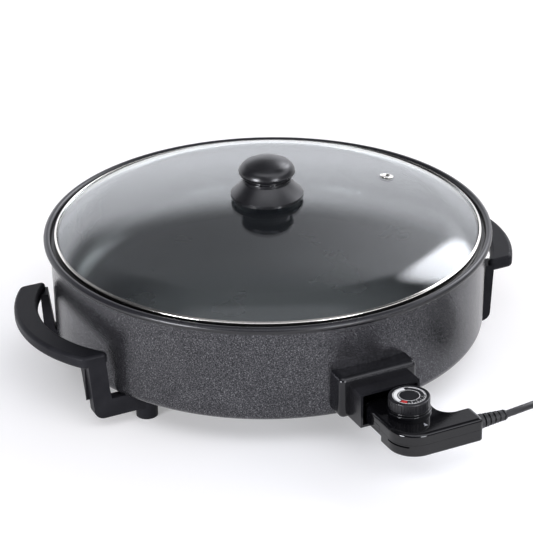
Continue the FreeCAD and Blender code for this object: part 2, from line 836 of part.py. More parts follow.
def wide_leg():
    # leg and foot arm in one profile, seen from the front, flush with the grip's end
    height = grip_bottom + grip_thickness / 2.0
    corners = [(foot_x, arm_clear, 0), (wide_leg_outer_foot, arm_clear, leg_corner),
               (wide_leg_outer, height, 0), (wide_leg_inner, height, 0),
               (wide_leg_inner_foot, arm_top + wide_leg_knee_height, wide_leg_knee_radius),
               (wide_leg_inner_foot - wide_leg_heel, arm_top, wide_leg_heel_radius), (foot_x, arm_top, 0)]
    points = [V(x, -grip_half_span, z) for x, z, _ in corners]
    outline = rounded_path(points, [c for _, _, c in corners], True)
    leg = Part.Face(outline).extrude(V(0, wide_leg_depth, 0))
    low = grip_bottom - wide_leg_flare_drop
    y0 = -grip_half_span + wide_leg_depth - wide_leg_flare_root
    y1 = y0 + wide_leg_flare
    x = wide_leg_inner
    hollow = V(x, y0 + 0.3 * wide_leg_flare, low + 0.45 * wide_leg_flare_drop)
    flare = Part.Wire([Part.LineSegment(V(x, y0, low), V(x, y0, height)).toShape(),
                       Part.LineSegment(V(x, y0, height), V(x, y1, height)).toShape(),
                       Part.Arc(V(x, y1, height), hollow, V(x, y0, low)).toShape()])
    web = Part.Face(flare).extrude(V(wide_leg_thickness, 0, 0))
    # the flare keeps clear of the fingers: nothing of it stands inward of the grip's inner arc
    fingers = Part.makeCylinder(grip_inner_radius, grip_top, V(grip_inner_reach - grip_inner_radius, 0, 0))
    return leg.fuse(web.cut(fingers))


def thin_leg():
    # narrow curved plate that follows the vessel's wall, then a foot arm below the vessel
    inner_top = wall_radius_at(grip_bottom) + thin_leg_gap
    inner_low = inner_top - thin_leg_lean
    height = grip_bottom + grip_thickness / 2.0
    inward = inner_low - thin_leg_foot_reach
    outward = inner_low + thin_leg_thickness
    corners = [(inward, arm_clear, 0), (outward + thin_leg_foot_spread, arm_clear, leg_corner),
               (inner_top + thin_leg_thickness, height, 0), (inner_top, height, 0),
               (inner_low, arm_top, thin_leg_root_radius), (inward, arm_top, 0)]
    start = math.degrees(math.asin(thin_leg_inner_span / inner_top))
    end = math.degrees(math.asin(grip_half_span / (inner_top + thin_leg_thickness)))
    points = [V(r, 0, z) for r, z, _ in corners]
    outline = rounded_path(points, [c for _, _, c in corners], True)
    leg = Part.Face(outline).revolve(V(0, 0, 0), V(0, 0, 1), end - start)
    leg.rotate(V(0, 0, 0), V(0, 0, 1), start)
    reach = math.sqrt(inner_low ** 2 - grip_half_span ** 2)
    arm = block(foot_x, reach, grip_half_span - wide_leg_depth, grip_half_span, arm_clear, arm_top)
    return leg.fuse(arm)


def handle(side):
    solid = grip().fuse([wide_leg(), thin_leg()])
    for place in foot_places(1):
        solid = solid.fuse(rod(foot_radius, place, place + V(0, 0, foot_height)))
    for place in foot_places(1):
        bore = rod(foot_bore_radius, place, place + V(0, 0, foot_seat))
        hole = rod(handle_screw_radius + screw_clearance, place, place + V(0, 0, foot_height + cut_past))
        solid = solid.cut(bore)
        solid = solid.cut(hole)
    solid = solid.removeSplitter()
    if side < 0:
        solid = solid.mirror(V(0, 0, 0), V(1, 0, 0))
        return solid
    solid = solid.mirror(V(0, 0, 0), V(0, 1, 0))
    return solid


def handle_left():
    return handle(-1)


def handle_right():
    return handle(1)


def handle_screws():
    screws = []
    for side in (-1, 1):
        for place in foot_places(side):
            screws.append(pan_screw(place + V(0, 0, foot_seat), V(0, 0, 1), handle_screw_radius,
                                    handle_screw_length, handle_screw_head_radius, handle_screw_head_height))
    return screws


# Lid

def glass_point(angle_share, inset):
    # a point of the glass's upper surface moved inwards: share 0 is the crown's edge, 1 the rim's edge
    angle = shoulder_start + (shoulder_end - shoulder_start) * angle_share
    centre_r = (crown_radius - shoulder_radius) * math.sin(shoulder_start)
    centre_z = crown_centre + (crown_radius - shoulder_radius) * math.cos(shoulder_start)
    return V(centre_r + (shoulder_radius - inset) * math.sin(angle), 0,
             centre_z + (shoulder_radius - inset) * math.cos(angle))


def crown_point(radius, inset):
    angle = math.asin(radius / crown_radius)
    return V((crown_radius - inset) * math.sin(angle), 0, crown_centre + (crown_radius - inset) * math.cos(angle))


def lid_glass():
    # a wide crown and a tighter shoulder, both of one thickness, ground square at the edge
    edges = [Part.LineSegment(crown_point(0, glass_thickness), crown_point(0, 0)).toShape(),
             Part.Arc(crown_point(0, 0), crown_point(crown_reach / 2, 0), crown_point(crown_reach, 0)).toShape(),
             Part.Arc(glass_point(0, 0), glass_point(0.5, 0), glass_point(1, 0)).toShape(),
             Part.LineSegment(glass_point(1, 0), glass_point(1, glass_thickness)).toShape(),
             Part.Arc(glass_point(1, glass_thickness), glass_point(0.5, glass_thickness),
                      glass_point(0, glass_thickness)).toShape(),
             Part.Arc(crown_point(crown_reach, glass_thickness), crown_point(crown_reach / 2, glass_thickness),
                      crown_point(0, glass_thickness)).toShape()]
    dome = Part.Face(Part.Wire(edges)).revolve(V(0, 0, 0), V(0, 0, 1), 360)
    screw_hole = rod(knob_hole_radius, V(0, 0, glass_top - 2 * glass_thickness), V(0, 0, glass_top + cut_past))
    vent = Part.makeCylinder(vent_barrel_radius + vent_clearance, 4 * glass_thickness, V(0, 0, -2 * glass_thickness))
    vent.Placement = vent_placement().multiply(vent.Placement)
    return dome.cut([screw_hole, vent])


def vent_placement():
    # on the glass's upper surface, square to it
    reach = math.hypot(vent_x, vent_y)
    height = crown_centre + math.sqrt(crown_radius ** 2 - reach ** 2)
    place = V(vent_x, vent_y, height)
    return FreeCAD.Placement(place, FreeCAD.Rotation(V(0, 0, 1), place - V(0, 0, crown_centre)))


def vent_eyelet():
    low = -glass_thickness - vent_clearance
    curl = vent_flange_height * 0.8
    curl_radius = vent_flange_radius - vent_curl_inset
    high = vent_clearance
    eyelet = turned([(vent_hole_radius, low - curl, 0), (curl_radius, low - curl, curl * 0.4), (curl_radius, low, 0),
                     (vent_barrel_radius, low, 0), (vent_barrel_radius, high, 0), (vent_flange_radius, high, 0),
                     (vent_flange_radius, high + vent_flange_height * 0.6, vent_flange_height * 0.3),
                     (vent_flange_radius * 0.6, high + vent_flange_height, vent_flange_height * 0.4),
                     (vent_hole_radius, high + vent_flange_height * 0.3, 0)])
    eyelet.Placement = vent_placement()
    return eyelet


def lid_band():
    # thin strip folded over the glass's edge, with a flat lower fold that stands on the vessel's ledge
    bottom = ledge_height + lid_seat_gap
    inner = band_radius - band_sheet
    slope = math.tan(shoulder_end)
    top_out = glass_edge_height + band_gap + band_sheet
    rise = band_fold * slope
    foot = band_radius - band_foot
    fold = band_radius - band_fold
    return turned([
        (foot, bottom, 0), (band_radius, bottom, band_sheet), (band_radius, top_out, band_sheet),
        (fold, top_out + rise, 0), (fold, top_out + rise - band_sheet, 0),
        (inner, top_out - band_sheet + band_gap, 0), (inner, bottom + band_sheet, 0), (foot, bottom + band_sheet, 0)])


def knob_cap():
    # mushroom head on a short neck, with a blind bore for its threaded insert
    rise = knob_top - knob_head_height
    quarter = math.sqrt(0.5)
    z = knob_joint
    bore = knob_insert_radius
    bore_top = knob_joint + knob_insert_cover + knob_insert_length
    edges = [Part.LineSegment(V(0, 0, bore_top), V(0, 0, knob_top)).toShape()]
    quarter_dome = [V(knob_head_radius * math.sin(math.radians(a)), 0,
                      knob_head_height + rise * math.cos(math.radians(a))) for a in (0, 22, 44, 66, 90)]
    edges.append(Part.Arc(quarter_dome[0], quarter_dome[1], quarter_dome[2]).toShape())
    edges.append(Part.Arc(quarter_dome[2], quarter_dome[3], quarter_dome[4]).toShape())
    lip = V(knob_lip_radius, 0, knob_lip_height)
    side = V(knob_head_radius, 0, knob_head_height)
    bulge = (side + lip) * 0.5 + V(quarter, 0, -quarter) * knob_lip_bulge
    edges.append(Part.Arc(side, bulge, lip).toShape())
    corners = [lip, V(knob_neck_radius, 0, knob_lip_height - knob_neck_step), V(knob_neck_radius, 0, z),
               V(bore, 0, z), V(bore, 0, bore_top), V(0, 0, bore_top)]
    for start, end in zip(corners[:-1], corners[1:]):
        edges.append(Part.LineSegment(start, end).toShape())
    return Part.Face(Part.Wire(edges)).revolve(V(0, 0, 0), V(0, 0, 1), 360)


def knob_skirt():
    # flared skirt, hollow below, with a central boss that stands on the gasket
    top = knob_joint - knob_joint_gap
    boss_bottom = glass_top + knob_gasket_thickness + knob_gasket_gap
    hole = knob_screw_radius + screw_clearance
    edge = knob_skirt_bottom + knob_skirt_edge
    outer = V(knob_skirt_radius, 0, edge)
    upper = V(knob_ring_radius + knob_ring_step, 0, knob_ring_bottom)
    chord = outer - upper
    waist = (outer + upper) * 0.5 - V(-chord.z, 0, chord.x).normalize() * knob_skirt_hollowing
    inner_foot = V(knob_skirt_radius - knob_skirt_wall, 0, knob_skirt_bottom)
    inner_mid = V((knob_skirt_radius + knob_boss_radius) / 2, 0, knob_skirt_bottom + knob_skirt_hollow)
    inner_top = V(knob_boss_radius, 0, knob_ring_bottom - knob_skirt_roof)
    edges = [Part.LineSegment(V(hole, 0, boss_bottom), V(hole, 0, top)).toShape(),
             Part.LineSegment(V(hole, 0, top), V(knob_ring_radius, 0, top)).toShape(),
             Part.LineSegment(V(knob_ring_radius, 0, top), V(knob_ring_radius, 0, knob_ring_bottom)).toShape(),
             Part.LineSegment(V(knob_ring_radius, 0, knob_ring_bottom), upper).toShape(),
             Part.Arc(upper, waist, outer).toShape(),
             Part.LineSegment(outer, V(knob_skirt_radius, 0, knob_skirt_bottom)).toShape(),
             Part.LineSegment(V(knob_skirt_radius, 0, knob_skirt_bottom), inner_foot).toShape(),
             Part.Arc(inner_foot, inner_mid, inner_top).toShape(),
             Part.LineSegment(inner_top, V(knob_boss_radius, 0, boss_bottom)).toShape(),
             Part.LineSegment(V(knob_boss_radius, 0, boss_bottom), V(hole, 0, boss_bottom)).toShape()]
    return Part.Face(Part.Wire(edges)).revolve(V(0, 0, 0), V(0, 0, 1), 360)


def ring(outer, inner, bottom, top):
    return turned([(inner, bottom, 0), (outer, bottom, 0), (outer, top, 0), (inner, top, 0)])


def knob_gasket():
    return ring(knob_gasket_radius, knob_screw_radius + screw_clearance, glass_top,
                glass_top + knob_gasket_thickness)


def knob_seal():
    return ring(knob_seal_radius, knob_screw_radius + screw_clearance, seal_top - knob_seal_thickness, seal_top)


def knob_washer():
    top = seal_top - knob_seal_thickness
    return ring(knob_washer_radius, knob_screw_radius + screw_clearance, top - knob_washer_thickness, top)


def knob_screw():
    seat = seal_top - knob_seal_thickness - knob_washer_thickness
    return pan_screw(V(0, 0, seat), V(0, 0, 1), knob_screw_radius, knob_screw_length,
                     knob_screw_head_radius, knob_screw_head_height)


def knob_insert():
    bottom = knob_joint + knob_insert_gap
    return ring(knob_insert_radius - knob_insert_side_gap, knob_screw_radius + screw_clearance, bottom,
                bottom + knob_insert_length)


# Controller

def case_plan(inset):
    # L-shaped plan of the body with its arm and the full-height part of its nose, drawn inwards by inset
    small = max(body_small_corner - inset, body_least_corner)
    side = nose_half_width - inset
    return [(-side, nose_end - inset, nose_corner - inset), (-side, body_front + inset, body_front_corner - inset),
            (arm_end - inset, body_front + inset, small), (arm_end - inset, arm_back - inset, small),
            (body_right - inset, arm_back - inset, body_inner_corner + inset),
            (body_right - inset, body_back - inset, small), (side, body_back - inset, body_nook_corner + inset),
            (side, nose_end - inset, nose_corner - inset)]


def case_outer():
    body = plate(case_plan(0.0), case_bottom, case_top)
    body = body.makeFillet(case_bottom_edge, flat_edges(body, case_bottom))
    body = body.makeFillet(case_top_edge, flat_edges(body, case_top))
    nose = block(-nose_half_width, nose_half_width, body_shoulder - case_wall, nose_tip, nose_bottom, nose_top)
    under_nose = block(-nose_half_width - cut_past, body_right + cut_past, body_shoulder, nose_tip,
                       case_bottom - cut_past, nose_bottom)
    return body.cut(under_nose).fuse(nose).removeSplitter()


def case_hollow():
    body = plate(case_plan(case_wall), case_bottom + case_wall, case_top - case_wall)
    nose = block(-nose_half_width + case_wall, nose_half_width - case_wall, body_shoulder - 2 * case_wall,
                 nose_tip - case_wall, nose_bottom + case_wall, nose_top - case_wall)
    under_nose = block(-nose_half_width - cut_past, body_right + cut_past, body_shoulder - case_wall, nose_tip,
                       case_bottom - cut_past, nose_bottom + case_wall)
    return body.cut(under_nose).fuse(nose)


def case_screw_seat(x, y):
    low = case_bottom if y < body_shoulder else nose_bottom
    return V(x, y, low + case_screw_head_height + hole_spare)


def case_details():
    # a frame line cut round a panel on the nose's side, and a slot for a fingertip round the front corner
    low, high = pin_height - nose_panel_half_height, pin_height + nose_panel_half_height
    y1 = body_shoulder + nose_panel_inset + nose_panel_length
    left = -nose_half_width
    panel = block(left - cut_past, left + nose_panel_depth, body_shoulder + nose_panel_inset, y1, low, high)
    line = nose_panel_depth
    inner = block(left - cut_past, left + nose_panel_depth, body_shoulder + nose_panel_inset + line, y1 - line,
                  low + line, high - line)
    centre = V(body_front_corner - nose_half_width, body_front + body_front_corner, pin_height - finger_slot_drop)
    outer_ring = Part.makeCylinder(body_front_corner + cut_past, finger_slot_height, centre, V(0, 0, 1),
                                   finger_slot_sweep)
    inner_ring = Part.makeCylinder(body_front_corner - finger_slot_depth, finger_slot_height, centre)
    outer_ring.rotate(centre, V(0, 0, 1), finger_slot_start)
    return [panel.cut(inner), outer_ring.cut(inner_ring)]


def case_solid():
    # the whole case before it is parted along its seam
    bosses = []
    for x, y in case_screw_places:
        low = case_bottom if y < body_shoulder else nose_bottom
        bosses.append(rod(case_boss_radius, V(x, y, low + case_wall / 2), V(x, y, case_top - case_wall / 2)))
    solid = case_outer().cut(case_hollow()).fuse(bosses)
    cuts = case_details()
    cuts.append(rod(bushing_radius + pin_clearance, V(dial_x, dial_y, case_top - case_wall - cut_past),
                    V(dial_x, dial_y, case_top + bezel_height + cut_past)))
    for x, y in case_screw_places:
        seat = case_screw_seat(x, y)
        cuts.append(rod(case_screw_head_radius + hole_spare, V(x, y, case_bottom - cut_past), seat))
        cuts.append(rod(case_screw_radius + screw_clearance, seat, seat + V(0, 0, case_screw_length + hole_spare)))
    tip = V(0, nose_tip + cut_past, 0)
    for place in terminals():
        cuts.append(rod(sleeve_bore + sleeve_wall + pin_clearance, place + V(0, sleeve_start + pin_clearance, 0),
                        place + V(0, sleeve_end - seal_gap, 0)))
        cuts.append(rod(pin_radius + 3 * pin_clearance, place + tip, place + V(0, sleeve_end, 0)))
    probe_end = V(0, probe_root - 2 * case_wall, pin_height)
    cuts.append(rod(probe_radius + pin_clearance, tip + V(0, 0, pin_height), probe_end))
    cuts.append(rod(probe_flange_radius + pin_clearance, V(0, nose_tip - case_wall, pin_height), probe_end))
    cuts.append(rod(guard_neck_radius + pin_clearance, V(arm_end - case_wall - cut_past, guard_y, guard_height),
                    V(arm_end + cut_past, guard_y, guard_height)))
    return solid.cut(cuts)


def half_space(bottom, top):
    # a slab wider than the controller, to part its case
    return block(-2 * arm_end, 2 * arm_end, 1.2 * body_front, 0.0, bottom, top)


def controller_top():
    shell = case_solid().common(half_space(case_seam + case_seam_gap / 2, dial_top))
    bore = bushing_radius + pin_clearance
    root = case_top - bezel_root
    bezel = turned([(bore, root, 0), (bezel_radius, root, 0), (bezel_radius, case_top + bezel_step_height, edge_break),
                    (bezel_step_radius, case_top + bezel_step_height, 0),
                    (bezel_step_radius, case_top + bezel_height, edge_break), (bore, case_top + bezel_height, 0)])
    bezel.translate(V(dial_x, dial_y, 0))
    return shell.fuse(bezel).removeSplitter()


def controller_base():
    return case_solid().common(half_space(0.0, case_seam - case_seam_gap / 2)).removeSplitter()


def controller_screws():
    screws = []
    for x, y in case_screw_places:
        seat = case_screw_seat(x, y)
        length = min(case_screw_length, case_top - case_wall - seat.z)
        screws.append(pan_screw(seat, V(0, 0, 1), case_screw_radius, length,
                                case_screw_head_radius, case_screw_head_height))
    return screws


def sensing_probe():
    # closed tube with a rounded tip and a flange that the nose traps
    start = nose_tip - case_wall - probe_flange_gap
    length = probe_tip - probe_root
    tube = turned([(0, 0, 0), (probe_radius, 0, 0), (probe_radius, length, probe_radius * 0.9), (0, length, 0)])
    tube.Placement = FreeCAD.Placement(V(0, probe_root, pin_height), FreeCAD.Rotation(V(0, 0, 1), V(0, 1, 0)))
    flange = rod(probe_flange_radius, V(0, start, pin_height), V(0, start - probe_flange_thickness, pin_height))
    return tube.fuse(flange).removeSplitter()


def contact_sleeves():
    sleeves = []
    for place in terminals():
        start = place + V(0, sleeve_start, 0)
        end = place + V(0, sleeve_end, 0)
        sleeves.append(rod(sleeve_bore + sleeve_wall, start, end).cut(rod(sleeve_bore, start, end)))
    return sleeves


def frame_floor():
    return nose_bottom + case_wall + frame_floor_gap


def thermostat_frame():
    # C-shaped bracket: its lower leg carries the switch stack and its upper leg the bushing
    low = frame_floor()
    high = bushing_bottom + bushing_flange_thickness + frame_sheet
    y0 = dial_y - frame_half_width
    y1 = dial_y - spindle_radius + frame_half_width
    outer = block(frame_left, frame_right, y0, y1, low, high)
    inner = block(frame_left + frame_sheet, frame_right + cut_past, y0 - cut_past, y1 + cut_past,
                  low + frame_sheet, high - frame_sheet)
    frame = outer.cut(inner)
    frame = frame.cut(rod(bushing_radius + pin_clearance, V(dial_x, dial_y, high - 2 * frame_sheet),
                          V(dial_x, dial_y, high + cut_past)))
    return frame.cut(rod(stack_hole_radius, V(stack_x, dial_y, low - cut_past),
                         V(stack_x, dial_y, low + 2 * frame_sheet)))


def thermostat_bushing():
    low = bushing_bottom
    high = case_top + bezel_height - bushing_head_gap
    bore = spindle_radius + spindle_clearance
    bushing = turned([(bore, low, 0), (bushing_flange_radius, low, 0),
                      (bushing_flange_radius, low + bushing_flange_thickness, 0),
                      (bushing_radius, low + bushing_flange_thickness, 0), (bushing_radius, high, edge_break),
                      (bore, high, 0)])
    bushing.translate(V(dial_x, dial_y, 0))
    return bushing


def stack_levels():
    # bottoms of the three ceramic washers and of the two blades between them
    first = frame_floor() + frame_sheet
    blade_one = first + stack_washer
    second = blade_one + blade_thickness
    blade_two = second + stack_washer
    third = blade_two + blade_thickness
    return first, blade_one, second, blade_two, third


def stack_washers():
    first, _, second, _, third = stack_levels()
    washers = [ring(stack_radius, stack_hole_radius, z, z + stack_washer) for z in (first, second, third)]
    for washer in washers:
        washer.translate(V(stack_x, dial_y, 0))
    return washers


def contact_blades():
    _, low, _, high, _ = stack_levels()
    blades = []
    start = stack_x - stack_radius - edge_break
    front, back = dial_y - blade_half_width, dial_y + blade_half_width
    for z in (low, high):
        blade = plate([(start, front, edge_break), (blade_end, front, edge_break), (blade_end, back, edge_break),
                       (start, back, edge_break)], z, z + blade_thickness)
        blades.append(blade.cut(rod(stack_hole_radius, V(stack_x, dial_y, z - cut_past),
                                    V(stack_x, dial_y, z + blade_thickness + cut_past))))
    return blades


def contact_points():
    _, low, _, high, _ = stack_levels()
    middle = (low + blade_thickness + high) / 2.0
    lower = rod(contact_radius, V(contact_x, dial_y, low + blade_thickness),
                V(contact_x, dial_y, middle - contact_open_half))
    upper = rod(contact_radius, V(contact_x, dial_y, middle + contact_open_half), V(contact_x, dial_y, high))
    return [lower, upper]


def stack_rivet():
    first, _, _, _, third = stack_levels()
    top = third + stack_washer
    low = first - frame_sheet
    shank = rod(stack_rivet_radius, V(stack_x, dial_y, low), V(stack_x, dial_y, top))
    head = rod(stack_rivet_head_radius, V(stack_x, dial_y, top), V(stack_x, dial_y, top + stack_rivet_head_height))
    return shank.fuse(head).removeSplitter()


# Dial

def dial_knob():
    # knurled cap with a sunk face for its plate, hollow below round the hub
    bottom = case_top + bezel_height + dial_gap
    inside = dial_radius - dial_wall
    face = dial_top - dial_plate_depth
    roof = face - dial_wall
    cap = turned([(0, roof, 0), (0, face, 0), (dial_plate_radius, face, 0), (dial_plate_radius, dial_top, 0),
                  (dial_radius, dial_top, dial_edge), (dial_radius, bottom, 0), (inside, bottom, 0),
                  (inside, roof, edge_break)])
    hub = ring(dial_hub_radius, spindle_radius + pin_clearance, bottom + dial_hub_rise, roof)
    cap = cap.fuse(hub)
    flutes = []
    for place in around(knurl_count, dial_radius + knurl_radius * knurl_offset_share):
        flutes.append(rod(knurl_radius, place + V(0, 0, bottom - cut_past), place + V(0, 0, dial_top - dial_edge)))
    cap = cap.cut(flutes).removeSplitter()
    cap.translate(V(dial_x, dial_y, 0))
    return cap


def dial_plate():
    return rod(dial_plate_radius - dial_plate_gap, V(dial_x, dial_y, dial_top - dial_plate_depth),
               V(dial_x, dial_y, dial_top - dial_plate_sink))


def dial_spindle():
    top = dial_top - dial_plate_depth - dial_wall
    spindle = turned([(0, spindle_bottom, 0), (spindle_radius, spindle_bottom, spindle_radius * 0.6),
                      (spindle_radius, top, 0), (0, top, 0)])
    spindle.translate(V(dial_x, dial_y, 0))
    return spindle


# Cord guard, lead and plug

def cord_guard():
    # flange inside the arm, neck through its end wall, then tapered ribs with slots between them
    start = arm_end - case_wall - guard_flange_gap - guard_flange_thickness
    rows = [(0, start), (guard_flange_radius, start), (guard_flange_radius, start + guard_flange_thickness),
            (guard_neck_radius, start + guard_flange_thickness), (guard_neck_radius, arm_end + guard_neck_length)]
    x = arm_end + guard_neck_length
    for i in range(guard_rib_count):
        radius = guard_root_radius + (guard_tip_radius - guard_root_radius) * i / (guard_rib_count - 1)
        rows += [(radius, x), (radius, x + guard_rib_width), (guard_slot_radius, x + guard_rib_width),
                 (guard_slot_radius, x + guard_rib_width + guard_slot_width)]
        x += guard_rib_width + guard_slot_width
    rows += [(guard_tip_radius, x), (cord_radius + guard_end_lip, arm_end + guard_length), (0, arm_end + guard_length)]
    guard = turned([(r, z, 0) for r, z in rows])
    guard.Placement = FreeCAD.Placement(V(0, guard_y, guard_height), FreeCAD.Rotation(V(0, 0, 1), V(1, 0, 0)))
    return guard


def tube_along(path, start, direction):
    section = Part.Wire(Part.makeCircle(cord_radius, start, direction))
    return path.makePipeShell([section], True, False)


def cord_stretch(name, points):
    # arcs as large as their two runs allow
    radii = [0.0] * len(points)
    for i in range(1, len(points) - 1):
        before = points[i] - points[i - 1]
        after = points[i + 1] - points[i]
        half_turn = before.getAngle(after) / 2.0
        radii[i] = run_share * min(before.Length, after.Length) / math.tan(half_turn)
        print("%s: turn %.0f degrees, radius %.0f mm" % (name, math.degrees(2 * half_turn), radii[i]))
    path = rounded_path(points, radii, False)
    solid = tube_along(path, points[0], points[1] - points[0])
    expected = math.pi * cord_radius ** 2 * path.Length
    print("%s: %.0f mm long, volume %.4f of section times length" % (name, path.Length, solid.Volume / expected))
    return solid


def coil_edges():
    # flat half turns that tighten by half a pitch each, a climbing half turn of two tilted quarter
    # turns, and as many half turns that widen again on the layer above
    heading = math.radians(coil_heading)
    ahead = V(math.cos(heading), math.sin(heading), 0)
    up = V(0, 0, 1)
    start = lead_points[-1]
    place = start + ahead * 2 * cord_radius
    edges = [Part.LineSegment(start, place).toShape()]
    radius = coil_outer_radius
    for i in range(2 * coil_half_turns + 1):
        right = ahead.cross(up)
        if i == coil_half_turns:
            tilt = math.atan2(coil_layer_rise / 2.0, radius)
            reach = radius / math.cos(tilt)
            toward = (right * math.cos(tilt) + up * math.sin(tilt))
            centre = place + toward * reach
            middle = centre + ahead * reach
            waist = centre + (ahead - toward) * reach * math.sqrt(0.5)
            edges.append(Part.Arc(place, waist, middle).toShape())
            end = place + right * 2 * radius + up * coil_layer_rise
            back_toward = (right * -1) * math.cos(tilt) - up * math.sin(tilt)
            back_centre = end + back_toward * reach
            waist = back_centre + (ahead - back_toward) * reach * math.sqrt(0.5)
            edges.append(Part.Arc(middle, waist, end).toShape())
        else:
            centre = place + right * radius
            end = centre + right * radius
            edges.append(Part.Arc(place, centre + ahead * radius, end).toShape())
        place = end
        ahead = ahead * -1
        radius += -coil_pitch / 2.0 if i < coil_half_turns else coil_pitch / 2.0
    finish = place + ahead * 2 * cord_radius
    edges.append(Part.LineSegment(place, finish).toShape())
    return edges, finish, ahead


def coil_gap(path):
    # least distance between two places of the tube that are more than half a turn apart along it
    spacing = 4.0
    count = int(path.Length / spacing)
    points = path.discretize(count)
    apart = int(2.0 * coil_outer_radius / spacing)
    least = 1e9
    for i in range(count):
        for j in range(i + apart, count):
            least = min(least, (points[i] - points[j]).Length)
    return least - 2 * cord_radius


def cord_coil():
    edges, _, _ = coil_edges()
    path = Part.Wire(edges)
    solid = tube_along(path, lead_points[-1], edges[0].Vertexes[1].Point - lead_points[-1])
    expected = math.pi * cord_radius ** 2 * path.Length
    print("coil: %.0f mm long, volume %.4f of section times length, least gap %.2f mm"
          % (path.Length, solid.Volume / expected, coil_gap(path)))
    return solid


def mains_cord():
    return cord_stretch("lead", lead_points)


def cord_tail():
    _, finish, _ = coil_edges()
    return cord_stretch("tail", [finish] + tail_points + [plug_place])


def coil_centre():
    heading = math.radians(coil_heading)
    ahead = V(math.cos(heading), math.sin(heading), 0)
    right = ahead.cross(V(0, 0, 1))
    return lead_points[-1] + ahead * 2 * cord_radius + right * coil_outer_radius


def cord_tie():
    # flat strip wrapped round both layers on the side where the cord doesn't climb
    heading = math.radians(coil_heading)
    ahead = V(math.cos(heading), math.sin(heading), 0)
    outer = coil_outer_radius - coil_pitch / 2.0 + cord_radius + tie_gap
    inner = coil_outer_radius - (coil_half_turns - 1) * coil_pitch / 2.0 - cord_radius - 3 * tie_gap
    low = coil_height - cord_radius - tie_foot_gap
    high = coil_height + coil_layer_rise + cord_radius + tie_gap
    hole = plate([(inner, -tie_half_width, 0), (outer, -tie_half_width, 0), (outer, tie_half_width, 0),
                  (inner, tie_half_width, 0)], low, high)
    strip = plate([(inner - tie_sheet, -tie_half_width, 0), (outer + tie_sheet, -tie_half_width, 0),
                   (outer + tie_sheet, tie_half_width, 0), (inner - tie_sheet, tie_half_width, 0)],
                  low - tie_sheet, high + tie_sheet)
    tie = strip.cut(hole)
    away = ahead * -1
    tie.rotate(V(0, 0, 0), V(0, 0, 1), math.degrees(math.atan2(away.y, away.x)))
    tie.translate(coil_centre() - V(0, 0, coil_centre().z))
    return tie


def plug_placement():
    # the plug lies on its flange, pins towards -Y
    return FreeCAD.Placement(plug_place, FreeCAD.Rotation(V(0, 0, 1), V(0, -1, 0)))


def plug_body():
    z1 = plug_collar_length
    z2 = z1 + plug_neck_length
    z3 = z2 + plug_grip_length
    z4 = z3 + plug_flare_length
    z5 = z4 + plug_face_length
    body = turned([(0, 0, 0), (plug_collar_radius, 0, 0.8), (plug_neck_radius, z1, 2), (plug_grip_radius, z2, 3),
                   (plug_grip_radius, z3, 2), (plug_radius, z4, 1.5), (plug_radius, z5, 1), (0, z5, 0)])
    cuts = []
    for side in (-1, 1):
        cuts.append(rod(plug_pin_root_radius, V(side * plug_pin_spacing / 2, 0, z5 - plug_pin_root),
                        V(side * plug_pin_spacing / 2, 0, z5 + cut_past)))
        y0 = side * (plug_radius - plug_earth_depth)
        y1 = side * (plug_radius + cut_past)
        half = plug_earth_half_width + plug_earth_gap
        cuts.append(block(-half, half, min(y0, y1), max(y0, y1), z4, z5 + cut_past))
    body = body.cut(cuts)
    body.Placement = plug_placement()
    return body


def plug_length():
    return plug_collar_length + plug_neck_length + plug_grip_length + plug_flare_length + plug_face_length


def plug_pins():
    pins = []
    face = plug_length()
    root = plug_pin_root_radius - plug_pin_root_gap
    for side in (-1, 1):
        pin = turned([(0, face - plug_pin_root, 0), (root, face - plug_pin_root, 0), (root, face, 0),
                      (plug_pin_radius, face, 0), (plug_pin_radius, face + plug_pin_length, plug_pin_radius * 0.5),
                      (0, face + plug_pin_length, 0)])
        pin.translate(V(side * plug_pin_spacing / 2, 0, 0))
        pin.Placement = plug_placement().multiply(pin.Placement)
        pins.append(pin)
    return pins


def plug_earth_strips():
    strips = []
    face = plug_length()
    for side in (-1, 1):
        y0 = side * (plug_radius - plug_earth_depth)
        y1 = side * (plug_radius - plug_earth_depth + plug_earth_sheet)
        strip = block(-plug_earth_half_width, plug_earth_half_width, min(y0, y1), max(y0, y1),
                      face - plug_face_length, face)
        strip.Placement = plug_placement()
        strips.append(strip)
    return strips


pan_nodes = [vessel, heating_element, heater_end_seals, heater_clips, clip_screws, heat_shield, shield_screws,
             terminal_pins, terminal_block, probe_well, well_screw, socket_housing, socket_screws,
             handle_left, handle_right, handle_screws,
             lid_glass, lid_band, vent_eyelet, knob_cap, knob_skirt, knob_gasket, knob_seal, knob_washer,
             knob_screw, knob_insert,
             controller_top, controller_base, controller_screws, sensing_probe, contact_sleeves,
             thermostat_frame, thermostat_bushing, stack_washers, contact_blades, contact_points, stack_rivet,
             dial_knob, dial_plate, dial_spindle, cord_guard]
lead_nodes = [mains_cord, cord_coil, cord_tail, cord_tie, plug_body, plug_pins, plug_earth_strips]


def save(make, shift):
    made = make()
    solids = made if isinstance(made, list) else [made]
    shape = Part.makeCompound(solids) if len(solids) > 1 else solids[0]
    shape.translate(shift)
    shape.exportStep("parts/%s.step" % make.__name__)
    return shape


whole = FreeCAD.BoundBox()
for make in pan_nodes:
    shape = save(make, V(0, pan_y, 0))
    whole.add(shape.BoundBox)
    if not shape.isValid():
        print("not valid:", make.__name__)
for make in lead_nodes:
    shape = save(make, V(0, 0, 0))
    if not shape.isValid():
        print("not valid:", make.__name__)
print("pan axis at y = %.1f" % pan_y)
print("box without the lead: x %.1f to %.1f, y %.1f to %.1f, z %.1f to %.1f"
      % (whole.XMin, whole.XMax, whole.YMin, whole.YMax, whole.ZMin, whole.ZMax))
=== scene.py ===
import bpy
import math
import numpy as np
from mathutils import Matrix, Vector


